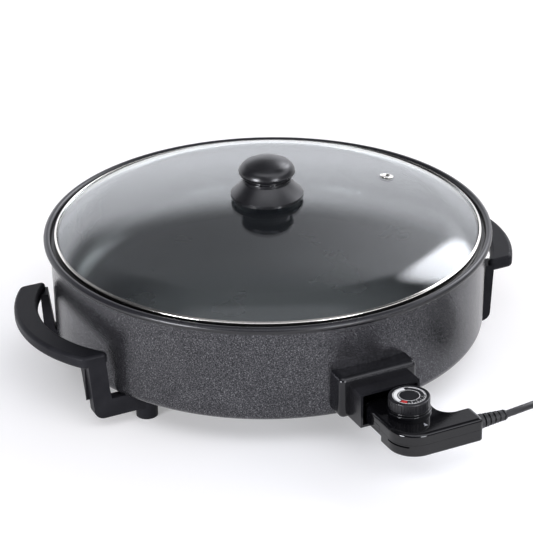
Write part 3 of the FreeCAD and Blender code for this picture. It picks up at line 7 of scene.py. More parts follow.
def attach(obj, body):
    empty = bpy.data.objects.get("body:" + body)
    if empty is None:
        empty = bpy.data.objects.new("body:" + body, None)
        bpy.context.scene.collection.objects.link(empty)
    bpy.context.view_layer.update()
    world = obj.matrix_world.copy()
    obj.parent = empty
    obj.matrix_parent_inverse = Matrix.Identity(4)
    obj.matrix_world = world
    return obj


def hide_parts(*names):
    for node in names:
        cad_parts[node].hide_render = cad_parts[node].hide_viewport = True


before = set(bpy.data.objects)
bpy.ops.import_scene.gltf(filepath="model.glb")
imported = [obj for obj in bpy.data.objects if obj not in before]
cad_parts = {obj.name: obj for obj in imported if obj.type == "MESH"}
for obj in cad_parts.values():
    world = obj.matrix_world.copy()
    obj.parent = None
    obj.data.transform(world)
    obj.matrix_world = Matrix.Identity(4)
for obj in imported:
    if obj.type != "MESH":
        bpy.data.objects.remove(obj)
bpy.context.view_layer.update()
scene = bpy.context.scene
scene.view_settings.view_transform = "Standard"
print("frame loaded:", len(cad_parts), "nodes")

# the pan's own axis stands 46 mm behind the frame's origin
panY = 0.046

# the photograph's view: a long lens, about 26 degrees up and as far round to the left of the front
cameraView = {
    "target": (0.0, panY, 0.066),  # the pan's axis, half way up
    "distance": 2.1,
    "azimuth": 25.6,  # degrees to the left of straight in front
    "elevation": 26.458,
    "roll": 0.938,
    "shiftRight": -0.00176,  # metres, in the picture's own plane
    "shiftUp": 0.01404,
    "lens": 149.2,
    "sensor": 36.0,
    "clip": (0.05, 60.0),
}


def placeCamera(view):
    a, e = math.radians(view["azimuth"]), math.radians(view["elevation"])
    back = Vector((-math.sin(a) * math.cos(e), -math.cos(a) * math.cos(e), math.sin(e)))
    right = Vector((math.cos(a), -math.sin(a), 0))
    up = back.cross(right)
    data = bpy.data.cameras.new("photoCamera")
    data.lens = view["lens"]
    data.sensor_width = view["sensor"]
    data.clip_start, data.clip_end = view["clip"]
    camera = bpy.data.objects.new("photoCamera", data)
    scene.collection.objects.link(camera)
    place = Vector(view["target"]) + back * view["distance"]
    place += right * view["shiftRight"] + up * view["shiftUp"]
    roll = math.radians(view["roll"])
    x = right * math.cos(roll) - up * math.sin(roll)
    y = right * math.sin(roll) + up * math.cos(roll)
    camera.matrix_world = Matrix(
        ((x.x, y.x, back.x, place.x), (x.y, y.y, back.y, place.y), (x.z, y.z, back.z, place.z), (0, 0, 0, 1))
    )
    scene.camera = camera


placeCamera(cameraView)
print("camera placed")

# The lead runs as the CAD's does. Its corners, its coil and the plug's place are in millimetres, and
# its radius, length and exit in metres.
cordFacts = {
    "radius": 0.0032,
    "length": 1.253,
    "exit": (0.0856, -0.244, 0.047),
    "lead": [(85.6, -244.0, 47.0), (104.0, -242.6, 47.6), (125.0, -236.0, 44.6), (146.0, -223.0, 34.5),
             (164.0, -206.0, 20.5), (179.0, -187.5, 9.4), (191.0, -169.0, 4.7), (201.3, -154.3, 4.4)],
    "tail": [(258.0, -220.6, 12.0), (249.0, -237.0, 13.5), (243.0, -254.0, 16.0), (240.0, -271.0, 18.0)],
    "plug": (240.0, -287.0, 19.0),
    "coilRadius": 41.0,
    "coilPitch": 6.9,
    "layerRise": 6.9,
    "halfTurns": 4,
    "heading": 55.0,  # degrees; the way that the lead runs into its coil
    "pointsPerHalf": 8,
    "pathSteps": 6,  # between two points of the spline
    "sideSteps": 5,  # more makes the cord rounder
}


# Control points of the coil: half circles whose radius shrinks by half a pitch each time, one that
# climbs a cord's thickness as (1 - cos) of its angle, and the same radii growing again above.
# A quadratic spline runs at (3 + cos step) / 4 of its points' radius, so they stand that much wider.
def coilPoints(facts):
    heading = math.radians(facts["heading"])
    ahead = np.array((math.cos(heading), math.sin(heading), 0.0))
    thickness = 2000.0 * facts["radius"]  # of the cord, in mm
    place = np.array(facts["lead"][-1]) + ahead * thickness
    radius, count = facts["coilRadius"], facts["pointsPerHalf"]
    step = math.pi / count
    wider = 4.0 / (3.0 + math.cos(step))
    angle = (np.arange(count) + 0.5) * step
    rows = []
    for i in range(2 * facts["halfTurns"] + 1):
        right = np.cross(ahead, (0.0, 0.0, 1.0))
        climb = facts["layerRise"] if i == facts["halfTurns"] else 0.0
        centre = place + right * radius
        ring = np.outer(-np.cos(angle), right) + np.outer(np.sin(angle), ahead)
        points = centre + ring * radius * wider
        points[:, 2] += climb * (1.0 - np.cos(angle)) / 2.0
        rows.append(points)
        place = centre + right * radius + np.array((0.0, 0.0, climb))
        ahead = -ahead
        radius += facts["coilPitch"] / 2.0 * (-1.0 if i < facts["halfTurns"] else 1.0)
    return np.vstack(rows), place + ahead * thickness


def makeCord(facts):
    coil, coilEnd = coilPoints(facts)
    points = np.vstack((facts["lead"], coil, [coilEnd], facts["tail"], [facts["plug"]])) / 1000.0
    curve = bpy.data.curves.new("supplyCord", "CURVE")
    curve.dimensions = "3D"
    curve.bevel_depth = 1.0  # times each point's own radius
    curve.bevel_resolution = facts["sideSteps"]
    curve.resolution_u = facts["pathSteps"]
    curve.use_fill_caps = True
    spline = curve.splines.new("NURBS")
    spline.points.add(len(points) - 1)
    spline.points.foreach_set("co", np.hstack((points, np.ones((len(points), 1)))).ravel())
    spline.points.foreach_set("radius", np.full(len(points), facts["radius"]))
    spline.order_u = 3
    spline.use_endpoint_u = True
    cord = bpy.data.objects.new("supplyCord", curve)
    scene.collection.objects.link(cord)
    return cord


supplyCord = makeCord(cordFacts)
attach(supplyCord, "controller")
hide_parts("mains_cord", "cord_coil", "cord_tail")
print("cord laid")


# colours are written as sRGB hex and turned linear here
def linear(hexText):
    channel = np.array([int(hexText[i:i + 2], 16) for i in (1, 3, 5)]) / 255.0
    value = np.where(channel <= 0.04045, channel / 12.92, ((channel + 0.055) / 1.055) ** 2.4)
    return (*value.tolist(), 1.0)


# one node with its settings, its values and its links; a value that is a node or a socket is linked
def addNode(tree, kind, values=None, ramp=None, **settings):
    node = tree.nodes.new(kind)
    for name, value in settings.items():
        setattr(node, name, value)
    if ramp:
        stops = node.color_ramp.elements
        while len(stops) < len(ramp):
            stops.new(0.5)
        for stop, (place, colour) in zip(stops, ramp):
            stop.position = place
            stop.color = linear(colour) if isinstance(colour, str) else (colour, colour, colour, 1.0)
    for socket, value in (values or {}).items():
        if isinstance(value, bpy.types.Node):
            value = value.outputs[0]
        if isinstance(value, bpy.types.NodeSocket):
            tree.links.new(value, node.inputs[socket])
        else:
            node.inputs[socket].default_value = value
    return node


def startMaterial(name):
    material = bpy.data.materials.new(name)
    material.use_nodes = True
    material.node_tree.nodes.clear()
    return material, material.node_tree


coating = {
    "grain": 1.0,  # mm across one grain of the fleck; the real one is finer and wouldn't show
    "hammer": 2.6,  # mm across one dimple of the hammered paint
    "dimpleShare": 0.5,  # of the dimples in the relief, beside the fleck's own
    "relief": 0.32,
    "depth": 0.0004,  # metres that the dimples go in
    "paint": [(0.34, "#29292c"), (0.48, "#3f3f42"), (0.58, "#515154"), (0.70, "#7b7b7e")],
    "drift": 28.0,  # clouds of tone in a metre
    "shade": [(0.35, 0.9), (0.65, 1.0)],  # how much the paint's tone drifts
    "flake": 0.8,  # share of the aluminium flake in the paint
    "gloss": 0.22,  # roughness of the paint
    "wallTop": 0.1185,  # metres; the fleck ends under the rolled rim
    "floorUnder": 0.0510,  # metres; the underside is painted as the wall is
    "outside": 0.1998,  # metres from the axis
    "fade": 0.0004,  # metres over which the paint gives way to the bare black
    "rim": "#141417",
    "rimGloss": 0.30,
}


# Hammer-finish enamel sprayed on cast aluminium: dark grey with pale flecks and shallow dimples.
# The rolled rim is satin black, and the coat inside the vessel is a piece of its own.
def hammeredEnamel(facts):
    material, tree = startMaterial("hammeredEnamel")
    place = addNode(tree, "ShaderNodeTexCoord").outputs["Object"]
    axis = addNode(tree, "ShaderNodeMapping", {"Vector": place, "Location": (0, -panY, 0), "Scale": (1, 1, 0)})
    radius = addNode(tree, "ShaderNodeVectorMath", {0: axis}, operation="LENGTH").outputs["Value"]
    height = addNode(tree, "ShaderNodeSeparateXYZ", {0: place}).outputs[2]
    top, wall, base, fade = facts["wallTop"], facts["outside"], facts["floorUnder"], facts["fade"]
    below = addNode(tree, "ShaderNodeMapRange", {0: height, 1: top + 2 * fade, 2: top})
    outside = addNode(tree, "ShaderNodeMapRange", {0: radius, 1: wall - fade, 2: wall})
    under = addNode(tree, "ShaderNodeMapRange", {0: height, 1: base + fade, 2: base})
    skin = addNode(tree, "ShaderNodeMath", {0: outside, 1: under}, operation="MAXIMUM")
    painted = addNode(tree, "ShaderNodeMath", {0: below, 1: skin}, operation="MULTIPLY")
    fleck = addNode(tree, "ShaderNodeTexNoise", {"Vector": place, "Scale": 1000.0 / facts["grain"], "Detail": 2.0})
    paint = addNode(tree, "ShaderNodeValToRGB", {0: fleck}, ramp=facts["paint"])
    cloud = addNode(tree, "ShaderNodeTexNoise", {"Vector": place, "Scale": facts["drift"], "Detail": 2.0})
    shade = addNode(tree, "ShaderNodeValToRGB", {0: cloud}, ramp=facts["shade"])
    paint = addNode(
        tree, "ShaderNodeMix", {0: 1.0, 6: paint, 7: shade}, data_type="RGBA", blend_type="MULTIPLY"
    ).outputs[2]
    colour = addNode(
        tree, "ShaderNodeMix", {0: painted, 6: linear(facts["rim"]), 7: paint}, data_type="RGBA"
    ).outputs[2]
    dimples = addNode(
        tree, "ShaderNodeTexVoronoi", {"Vector": place, "Scale": 1000.0 / facts["hammer"]}, feature="SMOOTH_F1"
    )
    relief = addNode(tree, "ShaderNodeMath", {0: dimples, 1: facts["dimpleShare"], 2: fleck}, operation="MULTIPLY_ADD")
    relief = addNode(tree, "ShaderNodeMath", {0: relief, 1: painted}, operation="MULTIPLY")
    bump = addNode(tree, "ShaderNodeBump", {"Height": relief, "Strength": facts["relief"], "Distance": facts["depth"]})
    gloss = addNode(tree, "ShaderNodeMapRange", {0: painted, 3: facts["rimGloss"], 4: facts["gloss"]})
    flake = addNode(tree, "ShaderNodeMath", {0: painted, 1: facts["flake"]}, operation="MULTIPLY")
    shader = addNode(
        tree, "ShaderNodeBsdfPrincipled",
        {"Base Color": colour, "Metallic": flake, "Roughness": gloss, "Normal": bump},
    )
    addNode(tree, "ShaderNodeOutputMaterial", {"Surface": shader})
    return material


# the noise values between which a surface's tone and gloss wander, and the depth of its fine relief
wander = (0.3, 0.7)
fineDepth = 0.0001  # metres

blacks = {
    # non-stick coat, sprayed and baked: smoother than the outside, with a satin sheen
    "nonStickCoat": {
        "tones": ("#1c1c1f", "#1f1f23"), "cloud": 60.0, "skin": 3.0, "rough": (0.27, 0.29), "relief": 0.0,
        "shine": 0.38,
    },
    # compression-moulded phenolic, its skin satin, on the handles
    "satinPhenolic": {
        "tones": ("#1a1a1d", "#222225"), "cloud": 18.0, "skin": 0.6, "rough": (0.34, 0.41), "relief": 0.2,
        "shine": 0.07,
    },
    # the socket box is phenolic from a brighter mould, so its edges catch the light
    "glossPhenolic": {
        "tones": ("#111113", "#18181b"), "cloud": 18.0, "skin": 0.6, "rough": (0.18, 0.24), "relief": 0.12,
        "shine": 0.4,
    },
    # the knob's phenolic comes from a smoother mould
    "polishedPhenolic": {
        "tones": ("#0f0f11", "#161619"), "cloud": 12.0, "skin": 0.6, "rough": (0.27, 0.33), "relief": 0.1,
        "shine": 0.5,
    },
    # injection-moulded ABS with a mirror gloss, on the controller
    "glossMoulding": {
        "tones": ("#08080a", "#0d0d0f"), "cloud": 15.0, "skin": 1.4, "rough": (0.07, 0.11), "relief": 0.03,
        "shine": 0.42,
    },
    # moulded nylon, half gloss, on the dial
    "dialNylon": {
        "tones": ("#111113", "#17171a"), "cloud": 6.0, "skin": 0.4, "rough": (0.26, 0.34), "relief": 0.1,
        "shine": 0.5,
    },
    # extruded soft PVC of the cord, its guard and its plug, dull and faintly grained
    "softPvc": {
        "tones": ("#141416", "#1b1b1e"), "cloud": 9.0, "skin": 0.6, "rough": (0.40, 0.50), "relief": 0.3,
        "shine": 0.5,
    },
}


# A moulded black surface: a base colour that drifts a little over the cloud's size, a gloss that
# drifts with it, and a fine skin in relief. Sizes are in mm.
def mouldedBlack(name, facts):
    material, tree = startMaterial(name)
    place = addNode(tree, "ShaderNodeTexCoord").outputs["Object"]
    cloud = addNode(tree, "ShaderNodeTexNoise", {"Vector": place, "Scale": 1000.0 / facts["cloud"], "Detail": 3.0})
    colour = addNode(tree, "ShaderNodeValToRGB", {0: cloud}, ramp=list(zip(wander, facts["tones"])))
    skin = addNode(tree, "ShaderNodeTexNoise", {"Vector": place, "Scale": 1000.0 / facts["skin"], "Detail": 2.0})
    gloss = addNode(
        tree, "ShaderNodeMapRange", {0: cloud, 1: wander[0], 2: wander[1], 3: facts["rough"][0], 4: facts["rough"][1]}
    )
    bump = addNode(tree, "ShaderNodeBump", {"Height": skin, "Strength": facts["relief"], "Distance": fineDepth})
    shader = addNode(
        tree, "ShaderNodeBsdfPrincipled",
        {"Base Color": colour, "Roughness": gloss, "Normal": bump, "Specular IOR Level": facts["shine"]},
    )
    addNode(tree, "ShaderNodeOutputMaterial", {"Surface": shader})
    return material


glazing = {"colour": "#eef3f2", "shadow": "#e4eae9", "rough": 0.015, "ior": 1.5}


# Toughened soda-lime glass: clear, faintly green in its thickness. Lamps shine through it as
# through thin glass, so what lies under the lid is lit.
def toughenedGlass(facts):
    material, tree = startMaterial("toughenedGlass")
    glass = addNode(
        tree, "ShaderNodeBsdfPrincipled",
        {
            "Base Color": linear(facts["colour"]), "Roughness": facts["rough"], "IOR": facts["ior"],
            "Transmission Weight": 1.0,
        },
    )
    clear = addNode(tree, "ShaderNodeBsdfTransparent", {"Color": linear(facts["shadow"])})
    path = addNode(tree, "ShaderNodeLightPath").outputs["Is Shadow Ray"]
    surface = addNode(tree, "ShaderNodeMixShader", {0: path, 1: glass, 2: clear})
    addNode(tree, "ShaderNodeOutputMaterial", {"Surface": surface})
    return material


metals = {
    # rolled and polished stainless strip, its rolling marks too fine to see
    "polishedStainless": {"tones": ("#cfccc6", "#e4e1db"), "mark": 1.5, "rough": (0.12, 0.2), "relief": 0.04},
    # zinc-plated steel: screws, clips and the frame in the controller
    "zincPlatedSteel": {"tones": ("#8d8f90", "#b3b5b4"), "mark": 2.5, "rough": (0.3, 0.42), "relief": 0.1},
    # aluminised steel sheet of the heat shield
    "aluminisedSheet": {"tones": ("#84868a", "#a9abad"), "mark": 6.0, "rough": (0.35, 0.5), "relief": 0.15},
    # annealed stainless sheath of the heating element, browned by heat
    "annealedSheath": {"tones": ("#4b4640", "#6f675c"), "mark": 5.0, "rough": (0.35, 0.5), "relief": 0.1},
    # drawn and nickel-washed brass of the sleeves and pins
    "drawnBrass": {"tones": ("#9b7b3e", "#c6a560"), "mark": 2.0, "rough": (0.24, 0.34), "relief": 0.05},
}


mattes = {
    # unglazed steatite bushings and terminal block
    "firedSteatite": {"tones": ("#cfc5b0", "#e4dcc9"), "mark": 3.0, "rough": (0.45, 0.6), "relief": 0.2},
    # grey silicone gaskets and seals
    "pressedSilicone": {"tones": ("#6f6f6c", "#878782"), "mark": 4.0, "rough": (0.6, 0.72), "relief": 0.2},
    # screen-printed epoxy ink, a touch uneven
    "whiteInk": {"tones": ("#dcdcda", "#f2f2f0"), "mark": 1.2, "rough": (0.45, 0.55), "relief": 0.05},
    "greyInk": {"tones": ("#8c8e92", "#9d9fa3"), "mark": 1.2, "rough": (0.45, 0.55), "relief": 0.05},
    "redInk": {"tones": ("#a81c1c", "#c42a26"), "mark": 1.2, "rough": (0.45, 0.55), "relief": 0.05},
}


# A metal, a ceramic, silicone or ink: its own colour and a gloss, which both wander with the marks of
# how it was made.
def workedSurface(name, facts, metallic):
    material, tree = startMaterial(name)
    place = addNode(tree, "ShaderNodeTexCoord").outputs["Object"]
    marks = addNode(tree, "ShaderNodeTexNoise", {"Vector": place, "Scale": 1000.0 / facts["mark"], "Detail": 3.0})
    colour = addNode(tree, "ShaderNodeValToRGB", {0: marks}, ramp=list(zip(wander, facts["tones"])))
    gloss = addNode(
        tree, "ShaderNodeMapRange", {0: marks, 1: wander[0], 2: wander[1], 3: facts["rough"][0], 4: facts["rough"][1]}
    )
    bump = addNode(tree, "ShaderNodeBump", {"Height": marks, "Strength": facts["relief"], "Distance": fineDepth})
    shader = addNode(
        tree, "ShaderNodeBsdfPrincipled",
        {"Base Color": colour, "Metallic": metallic, "Roughness": gloss, "Normal": bump},
    )
    addNode(tree, "ShaderNodeOutputMaterial", {"Surface": shader})
    return material


finish = {name: mouldedBlack(name, facts) for name, facts in blacks.items()}
finish.update({name: workedSurface(name, facts, metallic=1.0) for name, facts in metals.items()})
finish.update({name: workedSurface(name, facts, metallic=0.0) for name, facts in mattes.items()})
finish["hammeredEnamel"] = hammeredEnamel(coating)
finish["toughenedGlass"] = toughenedGlass(glazing)

nodeFinish = {
    "hammeredEnamel": ["vessel"],
    "satinPhenolic": ["handle_left", "handle_right"],
    "glossPhenolic": ["socket_housing"],
    "polishedPhenolic": ["knob_cap", "knob_skirt"],
    "glossMoulding": ["controller_top", "controller_base"],
    "dialNylon": ["dial_knob", "dial_plate"],
    "softPvc": ["cord_guard", "plug_body"],
    "toughenedGlass": ["lid_glass"],
    "polishedStainless": ["lid_band", "vent_eyelet", "knob_washer", "sensing_probe", "terminal_pins"],
    "zincPlatedSteel": [
        "clip_screws", "shield_screws", "well_screw", "socket_screws", "handle_screws", "knob_screw",
        "controller_screws", "thermostat_frame", "heater_clips", "thermostat_bushing", "stack_rivet",
        "dial_spindle", "probe_well",
    ],
    "aluminisedSheet": ["heat_shield"],
    "annealedSheath": ["heating_element"],
    "drawnBrass": [
        "knob_insert", "contact_sleeves", "contact_blades", "contact_points", "plug_pins", "plug_earth_strips",
    ],
    "firedSteatite": ["terminal_block", "heater_end_seals", "stack_washers"],
    "pressedSilicone": ["knob_gasket", "knob_seal"],
}
for name, nodes in nodeFinish.items():
    for node in nodes:
        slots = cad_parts[node].data.materials
        for i in range(len(slots)):
            slots[i] = finish[name]
supplyCord.data.materials.append(finish["softPvc"])
print("materials given:", len(finish))


# a grid of points becomes a mesh: rows run along u, columns along v, and either way may close
def gridPiece(name, points, material, closeU=False, closeV=False, smooth=True):
    rows, columns = points.shape[:2]
    index = np.arange(rows * columns).reshape(rows, columns)
    if closeU:
        index = np.vstack((index, index[:1]))
    if closeV:
        index = np.hstack((index, index[:, :1]))
    faces = np.stack((index[:-1, :-1], index[1:, :-1], index[1:, 1:], index[:-1, 1:]), axis=-1).reshape(-1, 4)
    mesh = bpy.data.meshes.new(name)
    mesh.from_pydata(points.reshape(-1, 3).tolist(), [], faces.tolist())
    mesh.polygons.foreach_set("use_smooth", np.full(len(mesh.polygons), smooth))
    mesh.materials.append(material)
    mesh.update()
    piece = bpy.data.objects.new(name, mesh)
    scene.collection.objects.link(piece)
    return piece


# A turned piece: its section, as radius and height in mm, carried round the pan's axis. Edges sharper
# than the crease, in degrees, stay crisp and all others are smooth, so that reflections run without
# facets.
def turnedPiece(name, body, section, material, count=360, crease=30):
    section = np.asarray(section)
    angle = np.linspace(0, 2 * np.pi, count, endpoint=False)
    x = section[:, 0][None, :] * np.cos(angle)[:, None]
    y = section[:, 0][None, :] * np.sin(angle)[:, None] + panY * 1000.0
    z = np.broadcast_to(section[:, 1][None, :], x.shape)
    piece = gridPiece(name, np.stack((x, y, z), axis=-1) / 1000.0, material, closeU=True, closeV=True)
    piece.data.set_sharp_from_angle(angle=math.radians(crease))
    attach(piece, body)
    return piece


lidFacts = {
    "top": 154.0,  # mm above the table, the glass's upper surface on the axis
    "crown": 900.0,  # radius of the shallow middle
    "reach": 165.0,  # where the tighter shoulder starts
    "edge": (199.0, 125.5),  # radius and height of the upper surface's edge
    "sheet": 4.0,
    "hole": 4.2,  # radius of the knob's hole
    "steps": (50, 40),  # points along the crown and along the shoulder
    # the band's section, each corner as radius, height and rounding
    "band": [(196.0, 119.72, 0.0), (199.98, 119.72, 0.8), (199.98, 126.25, 1.0), (197.7, 127.66, 0.28),
             (197.7, 127.08, 0.2), (199.38, 125.95, 0.3), (199.38, 120.3, 0.2), (196.0, 120.3, 0.0)],
}


# The glass is two arcs, tangent where they meet, and the same arcs again one sheet further in. An
# arc's chord slopes by the mean of its two end angles, so the shoulder ends at twice the angle of its
# chord less the angle where it starts. The vent's eyelet hides the glass below it, so that hole isn't
# cut here.
def glassSection(facts):
    start = math.asin(facts["reach"] / facts["crown"])
    top = facts["top"] - facts["crown"] * (1.0 - math.cos(start))
    run, fall = facts["edge"][0] - facts["reach"], top - facts["edge"][1]
    end = 2.0 * math.atan2(fall, run) - start
    shoulder = run / (math.sin(end) - math.sin(start))
    middle = facts["top"] - facts["crown"]  # height of the crown's centre
    crownAngle = np.linspace(math.asin(facts["hole"] / facts["crown"]), start, facts["steps"][0])
    shoulderAngle = np.linspace(start, end, facts["steps"][1])[1:]
    between = facts["crown"] - shoulder
    centre = (between * math.sin(start), middle + between * math.cos(start))

    def surface(inset):
        r, c = facts["crown"] - inset, shoulder - inset
        crown = np.stack((r * np.sin(crownAngle), middle + r * np.cos(crownAngle)), axis=1)
        rest = np.stack((centre[0] + c * np.sin(shoulderAngle), centre[1] + c * np.cos(shoulderAngle)), axis=1)
        return np.vstack((crown, rest))

    return np.vstack((surface(facts["sheet"]), surface(0.0)[::-1]))


# Corners as radius from the axis, height and rounding. Each is rounded by an arc between its two
# tangent points, whose centre lies radius / sin(half the corner) along the corner's bisector, in
# more steps where the rounding is larger. Points closer than a micrometre count once.
def roundedSection(corners, steps=8, closed=True):
    points = np.array([c[:2] for c in corners])
    rows = []
    for i, (x, z, radius) in enumerate(corners):
        corner = np.array((x, z))
        if not radius or (not closed and i in (0, len(corners) - 1)):
            rows.append(corner)
            continue
        back, ahead = points[i - 1] - corner, points[(i + 1) % len(points)] - corner
        back, ahead = back / np.linalg.norm(back), ahead / np.linalg.norm(ahead)
        half = np.arccos(np.clip(back @ ahead, -1, 1)) / 2
        middle = (back + ahead) / np.linalg.norm(back + ahead)
        centre = corner + middle * radius / np.sin(half)
        run = radius / np.tan(half)  # from the corner to either tangent point
        first, last = corner + back * run - centre, corner + ahead * run - centre
        sweep = np.pi - 2 * half
        for t in np.linspace(0, 1, max(3, int(steps * radius ** 0.5))):
            rows.append(centre + (np.sin((1 - t) * sweep) * first + np.sin(t * sweep) * last) / np.sin(sweep))
    kept = [rows[0]] + [b for a, b in zip(rows[:-1], rows[1:]) if np.linalg.norm(b - a) > 1e-3]
    return np.array(kept)


lidGlass = turnedPiece("lidGlass", "lid", glassSection(lidFacts), finish["toughenedGlass"])
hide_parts("lid_glass")
lidBand = turnedPiece("lidBand", "lid", roundedSection(lidFacts["band"]), finish["polishedStainless"])
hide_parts("lid_band")

coatFacts = {
    # the vessel's inside from its middle outwards, then over the ledge and the rolled rim
    "surface": [(0.02, 55.5, 0.0), (196.6, 55.5, 30.0), (198.7, 114.8, 0.6), (197.5, 116.0, 0.3), (197.5, 119.5, 0.6),
                (203.2, 119.5, 0.6), (203.2, 126.2, 3.4), (210.0, 126.2, 3.4), (210.0, 122.0, 0.0)],
    "end": 209.5,  # radius on the rim's outer side where the coat stops
    "ledge": (198.8, 118.0),  # radius and height that the inside stays within
    "lift": (0.2, 0.06),  # mm above the metal, inside and on the ledge and rim
    "sink": 0.3,  # mm below the metal's surface
}


# The non-stick coat is a skin over the cast metal: the vessel's own section moved along its normals,
# which are its direction given a quarter turn, a little up for the face that shows and a little down
# for the face that bonds.
def coatSection(facts):
    line = roundedSection(facts["surface"], closed=False)
    ahead = np.gradient(line, axis=0)
    normal = np.stack((-ahead[:, 1], ahead[:, 0]), axis=1) / np.linalg.norm(ahead, axis=1)[:, None]
    inside = (line < facts["ledge"]).all(axis=1)
    lift = np.where(inside, *facts["lift"])
    kept = line[:, 0] < facts["end"]
    line, normal, lift = line[kept], normal[kept], lift[kept]
    return np.vstack((line - normal * facts["sink"], (line + normal * lift[:, None])[::-1]))


nonStickCoat = turnedPiece("nonStickCoat", "pan", coatSection(coatFacts), finish["nonStickCoat"])
print("lid and coat turned")

# strap round the coil, across from the lead's own end; millimetres in the strap's own plane, where
# u points away from the coil's centre and w up
strapFacts = {
    "centre": (238.56, -172.57),  # the coil's centre on the table
    "reach": (25.95, 41.25),  # the strap's inside, from the coil's centre
    "height": (1.0, 15.0),  # the strap's inside, from the table
    "sheet": 0.8,
    "halfWidth": 4.0,
    "squareness": 5.0,  # 2 is an ellipse, more is squarer
    "sectionPowers": (0.4, 0.6),  # of the section's cosine and sine; 1 is an ellipse
    "ribs": 26,
    "ribRise": 0.12,
    "ribRun": (0.02, 0.36),  # share of the loop that carries the ribs
    "ribWidth": 0.8,  # share of the strap's width
    "steps": (240, 24),  # along the loop and round the section
}


# The strap's path is a superellipse in the plane of away and up: |u/a|^n + |w/b|^n = 1. Its section
# is a flat superellipse, halfWidth by half the sheet, carried along the path's normal; the outer
# side carries small ribs as a squared sine of the way along the path, over a third of the loop.
def makeStrap(facts):
    heading = math.radians(cordFacts["heading"])
    away = -np.array((math.cos(heading), math.sin(heading), 0.0))
    across = np.cross((0.0, 0.0, 1.0), away)
    up = np.array((0.0, 0.0, 1.0))
    a = (facts["reach"][1] - facts["reach"][0] + facts["sheet"]) / 2
    b = (facts["height"][1] - facts["height"][0] + facts["sheet"]) / 2
    middle = np.append(facts["centre"], sum(facts["height"]) / 2) + away * sum(facts["reach"]) / 2
    count, ringCount = facts["steps"]
    turn = np.linspace(0, 2 * np.pi, count, endpoint=False)
    power = 2.0 / facts["squareness"]
    u = a * np.sign(np.cos(turn)) * np.abs(np.cos(turn)) ** power
    w = b * np.sign(np.sin(turn)) * np.abs(np.sin(turn)) ** power
    # even steps along the path, because the superellipse's own angle bunches at its corners
    loop = np.stack((np.append(u, u[0]), np.append(w, w[0])), axis=1)
    run = np.append(0.0, np.cumsum(np.linalg.norm(np.diff(loop, axis=0), axis=1)))
    even = np.linspace(0, run[-1], count, endpoint=False)
    u, w = np.interp(even, run, loop[:, 0]), np.interp(even, run, loop[:, 1])
    du, dw = np.roll(u, -1) - np.roll(u, 1), np.roll(w, -1) - np.roll(w, 1)
    length = np.hypot(du, dw)
    normal = np.outer(dw / length, away) - np.outer(du / length, up)
    path = middle + np.outer(u, away) + np.outer(w, up)
    ring = np.linspace(0, 2 * np.pi, ringCount, endpoint=False)
    acrossPower, throughPower = facts["sectionPowers"]
    side = facts["halfWidth"] * np.sign(np.cos(ring)) * np.abs(np.cos(ring)) ** acrossPower
    thick = facts["sheet"] / 2 * np.sign(np.sin(ring)) * np.abs(np.sin(ring)) ** throughPower
    share = np.arange(count) / count
    ribStart, ribEnd = facts["ribRun"]
    ribbed = np.where((share > ribStart) & (share < ribEnd), np.sin(share * np.pi * 3 * facts["ribs"]) ** 2, 0.0)
    outer = (thick > 0) * (np.abs(side) < facts["ribWidth"] * facts["halfWidth"]) * facts["ribRise"]
    offset = thick[None, :] + ribbed[:, None] * outer[None, :]
    points = path[:, None, :] + offset[:, :, None] * normal[:, None, :] + side[None, :, None] * across
    return gridPiece("coilStrap", points / 1000.0, finish["softPvc"], closeU=True, closeV=True)


coilStrap = makeStrap(strapFacts)
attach(coilStrap, "controller")
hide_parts("cord_tie")

# printed marks on the dial's plate: millimetres, and clock angles in degrees from the 12 o'clock
# that points away from the cord, clockwise seen from above
printFacts = {
    "centre": (7.5, -213.0),  # the dial's axis
    "height": 70.85,  # top of the dial's plate
    "ink": 0.03,
    # ink, inner and outer radius, first and last angle; the wedge's inner radius at its last angle
    "rings": [("whiteInk", 14.15, 14.6, 0, 360), ("whiteInk", 8.9, 9.35, 0, 360)],
    "arc": ("whiteInk", 13.0, 13.6, 25, 110),
    "wedge": ("whiteInk", 10.8, 13.7, 247, 368, 9.9),
    "mark": ("redInk", 10.0, 13.7, 218, 243),
    "arcStep": 3,  # degrees
    "ticks": [115, 126, 138, 150, 162, 174, 186, 198, 210],
    "tickReach": (12.6, 13.7),
    "tickHalf": 1.5,  # degrees
    "numbers": {"1": 126, "2": 150, "3": 174, "4": 198},
    "numberSize": 2.4,
    "numberRadius": 11.0,
}


# A flat patch between two radii and two clock angles; its inner radius may run from one value to
# another, which makes a wedge.
def printArc(name, ink, inner, outer, start, end, innerEnd=None):
    count = max(4, int(abs(end - start) / printFacts["arcStep"]))
    angle = np.radians(np.linspace(start, end, count + 1))
    low = np.linspace(inner, inner if innerEnd is None else innerEnd, count + 1)
    radius = np.stack((low, np.full(count + 1, outer)), axis=1)
    x = printFacts["centre"][0] + radius * np.sin(angle)[:, None]
    y = printFacts["centre"][1] + radius * np.cos(angle)[:, None]
    z = np.full_like(x, printFacts["height"] + printFacts["ink"])
    points = np.stack((x, y, z), axis=-1)[:, ::-1] / 1000.0
    piece = gridPiece(name, points, finish[ink], smooth=False)
    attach(piece, "dial")
    return piece


for i, (ink, inner, outer, start, end) in enumerate(printFacts["rings"]):
    printArc(f"printRing{i}", ink, inner, outer, start, end)
printArc("printArc", *printFacts["arc"])
printArc("printWedge", *printFacts["wedge"])
printArc("printLimit", *printFacts["mark"])
for i, angle in enumerate(printFacts["ticks"]):
    half = printFacts["tickHalf"]
    printArc(f"printTick{i}", "whiteInk", *printFacts["tickReach"], angle - half, angle + half)


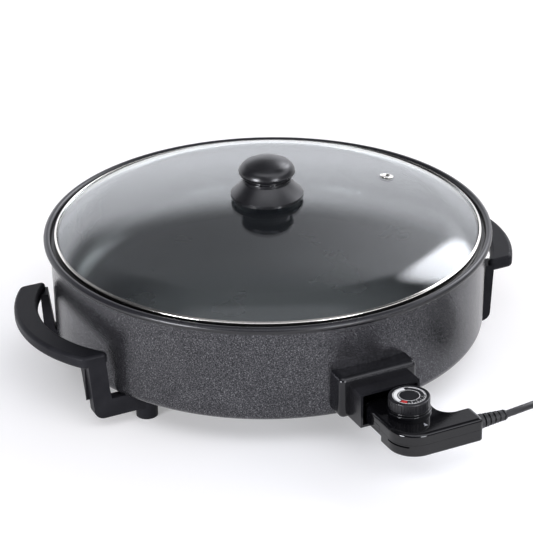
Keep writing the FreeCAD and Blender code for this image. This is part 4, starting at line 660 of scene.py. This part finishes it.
# A plain number as a flat mesh, moved out along its clock angle and turned by that angle, so that its
# foot points to the dial's axis.
def printNumber(text, clock, facts):
    curve = bpy.data.curves.new(f"number{text}", "FONT")
    curve.body = text
    curve.size = facts["numberSize"] / 1000.0
    curve.align_x, curve.align_y = "CENTER", "CENTER"
    helper = bpy.data.objects.new("numberHelper", curve)
    scene.collection.objects.link(helper)
    bpy.context.view_layer.update()
    mesh = bpy.data.meshes.new_from_object(helper.evaluated_get(bpy.context.evaluated_depsgraph_get()))
    bpy.data.objects.remove(helper)
    angle = math.radians(clock)
    place = Vector(facts["centre"] + (facts["height"] + facts["ink"],)) / 1000.0
    place += Vector((math.sin(angle), math.cos(angle), 0.0)) * facts["numberRadius"] / 1000.0
    mesh.transform(Matrix.Translation(place) @ Matrix.Rotation(-angle, 4, "Z"))
    mesh.materials.clear()
    mesh.materials.append(finish["whiteInk"])
    piece = bpy.data.objects.new(f"number{text}", mesh)
    scene.collection.objects.link(piece)
    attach(piece, "dial")


for text, clock in printFacts["numbers"].items():
    printNumber(text, clock, printFacts)

pointerFacts = {"tip": (7.3, -238.8), "height": 57.03, "length": 4.8, "width": 3.6}  # millimetres


# The pointer printed on the case: a triangle whose tip faces the dial. Its base lies one length
# further from the dial's axis and half a width to either side.
def makePointer(facts):
    tip = np.array(facts["tip"])
    outward = tip - np.array(printFacts["centre"])
    outward /= np.linalg.norm(outward)
    side = np.array((-outward[1], outward[0])) * facts["width"] / 2
    base = tip + outward * facts["length"]
    flat = np.array(((tip, base + side), (tip, base - side)))
    points = np.concatenate((flat, np.full((2, 2, 1), facts["height"])), axis=-1) / 1000.0
    piece = gridPiece("casePointer", points[::-1], finish["greyInk"], smooth=False)
    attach(piece, "controller")


makePointer(pointerFacts)
print("strap and print made")

# The light tent round the table: soft panels of the world. Each has a direction, the two cosines
# from that direction between which it fades in, the sines of elevation where it starts, is full,
# begins to fade and ends, and its level.
studio = {
    "floorColours": ("#efece8", "#ececec"),
    "floorGlow": 0.22,
    "floorClouds": 2.0,  # in a metre
    "floorSize": 12.0,
    "ambient": 0.05,
    "tint": "#f7f8ff",  # the lamps are a little cool
    "lampAim": (0.0, panY, 0.08),
    "panels": {
        "lowBack": ((0.43, 0.90, 0), (0.2, 0.75), (-1.0, -0.9, 0.06, 0.20), 1.25),
        "midBack": ((0.43, 0.90, 0), (0.2, 0.75), (0.06, 0.20, 0.38, 0.50), 1.6),
        "highBack": ((0.43, 0.90, 0), (-0.1, 0.7), (0.38, 0.50, 0.64, 0.76), 0.34),
        "highRight": ((0.90, -0.43, 0), (-0.1, 0.7), (0.34, 0.48, 0.64, 0.76), 2.4),
        "softRight": ((0.71, 0.38, 0.59), (0.966, 0.990), (-1.2, -1.1, 1.5, 1.6), 6.0),
        "overBack": ((0.43, 0.90, 0), (-0.1, 0.7), (0.64, 0.76, 0.90, 0.96), 0.11),
        "overFront": ((-0.43, -0.90, 0), (-0.1, 0.7), (0.64, 0.76, 0.90, 0.96), 3.0),
        "zenith": ((0.0, 1.0, 0), (-2.0, -1.9), (0.90, 0.96, 1.5, 1.6), 0.45),  # all the way round
    },
}


def makeFloor(facts):
    half = facts["floorSize"] / 2
    mesh = bpy.data.meshes.new("floor")
    mesh.from_pydata([(-half, -half, 0), (half, -half, 0), (half, half, 0), (-half, half, 0)], [], [(0, 1, 2, 3)])
    material, tree = startMaterial("paintedSweep")
    place = addNode(tree, "ShaderNodeTexCoord").outputs["Object"]
    cloud = addNode(tree, "ShaderNodeTexNoise", {"Vector": place, "Scale": facts["floorClouds"], "Detail": 2.0})
    colour = addNode(tree, "ShaderNodeValToRGB", {0: cloud}, ramp=list(zip(wander, facts["floorColours"])))
    matt = addNode(tree, "ShaderNodeBsdfDiffuse", {"Color": colour})
    path = addNode(tree, "ShaderNodeLightPath").outputs
    seen = addNode(
        tree, "ShaderNodeMath", {0: path["Is Camera Ray"], 1: path["Is Glossy Ray"]}, operation="MAXIMUM"
    )
    seen = addNode(tree, "ShaderNodeMath", {0: seen, 1: path["Is Transmission Ray"]}, operation="MAXIMUM")
    level = addNode(tree, "ShaderNodeMath", {0: seen, 1: facts["floorGlow"]}, operation="MULTIPLY")
    glow = addNode(tree, "ShaderNodeEmission", {"Strength": level})
    surface = addNode(tree, "ShaderNodeAddShader", {0: matt, 1: glow})
    addNode(tree, "ShaderNodeOutputMaterial", {"Surface": surface})
    mesh.materials.append(material)
    floor = bpy.data.objects.new("floor", mesh)
    scene.collection.objects.link(floor)


# Each panel is a smooth window in direction times one in height, and the panels add up. The camera
# itself sees plain white.
def makeWorld(facts):
    world = bpy.data.worlds.new("lightTent")
    world.use_nodes = True
    scene.world = world
    tree = world.node_tree
    tree.nodes.clear()
    direction = addNode(tree, "ShaderNodeTexCoord").outputs["Generated"]
    height = addNode(tree, "ShaderNodeSeparateXYZ", {0: direction}).outputs[2]
    total = facts["ambient"]
    for toward, (wide, narrow), (rise, full, fade, end), level in facts["panels"].values():
        facing = addNode(
            tree, "ShaderNodeVectorMath", {0: direction, 1: toward}, operation="DOT_PRODUCT"
        ).outputs["Value"]
        beside = addNode(
            tree, "ShaderNodeMapRange", {0: facing, 1: wide, 2: narrow, 4: level}, interpolation_type="SMOOTHSTEP"
        )
        up = addNode(tree, "ShaderNodeMapRange", {0: height, 1: rise, 2: full}, interpolation_type="SMOOTHSTEP")
        down = addNode(tree, "ShaderNodeMapRange", {0: height, 1: end, 2: fade}, interpolation_type="SMOOTHSTEP")
        window = addNode(tree, "ShaderNodeMath", {0: up, 1: down}, operation="MULTIPLY")
        total = addNode(tree, "ShaderNodeMath", {0: beside, 1: window, 2: total}, operation="MULTIPLY_ADD")
    lit = addNode(tree, "ShaderNodeBackground", {"Color": linear(facts["tint"]), "Strength": total})
    white = addNode(tree, "ShaderNodeBackground", {"Strength": 1.0})
    path = addNode(tree, "ShaderNodeLightPath").outputs["Is Camera Ray"]
    mixed = addNode(tree, "ShaderNodeMixShader", {0: path, 1: lit, 2: white})
    addNode(tree, "ShaderNodeOutputWorld", {"Surface": mixed})


lamps = {
    "keyLeft": {"place": (-2.1, -0.75, 0.4), "size": (0.7, 0.5), "watts": 44.0},
    "sideRight": {"place": (0.3, -2.1, 0.5), "size": (0.7, 0.5), "watts": 20.0},
}


def makeLamp(name, facts):
    data = bpy.data.lights.new(name, "AREA")
    data.shape = "RECTANGLE"
    data.size, data.size_y = facts["size"]
    data.energy = facts["watts"]
    data.color = linear(studio["tint"])[:3]
    lamp = bpy.data.objects.new(name, data)
    scene.collection.objects.link(lamp)
    lamp.location = facts["place"]
    toward = Vector(studio["lampAim"]) - Vector(facts["place"])
    lamp.rotation_euler = toward.to_track_quat("-Z", "Y").to_euler()
    lamp.visible_camera = False


makeFloor(studio)
makeWorld(studio)
for name, facts in lamps.items():
    makeLamp(name, facts)
print("studio lit")
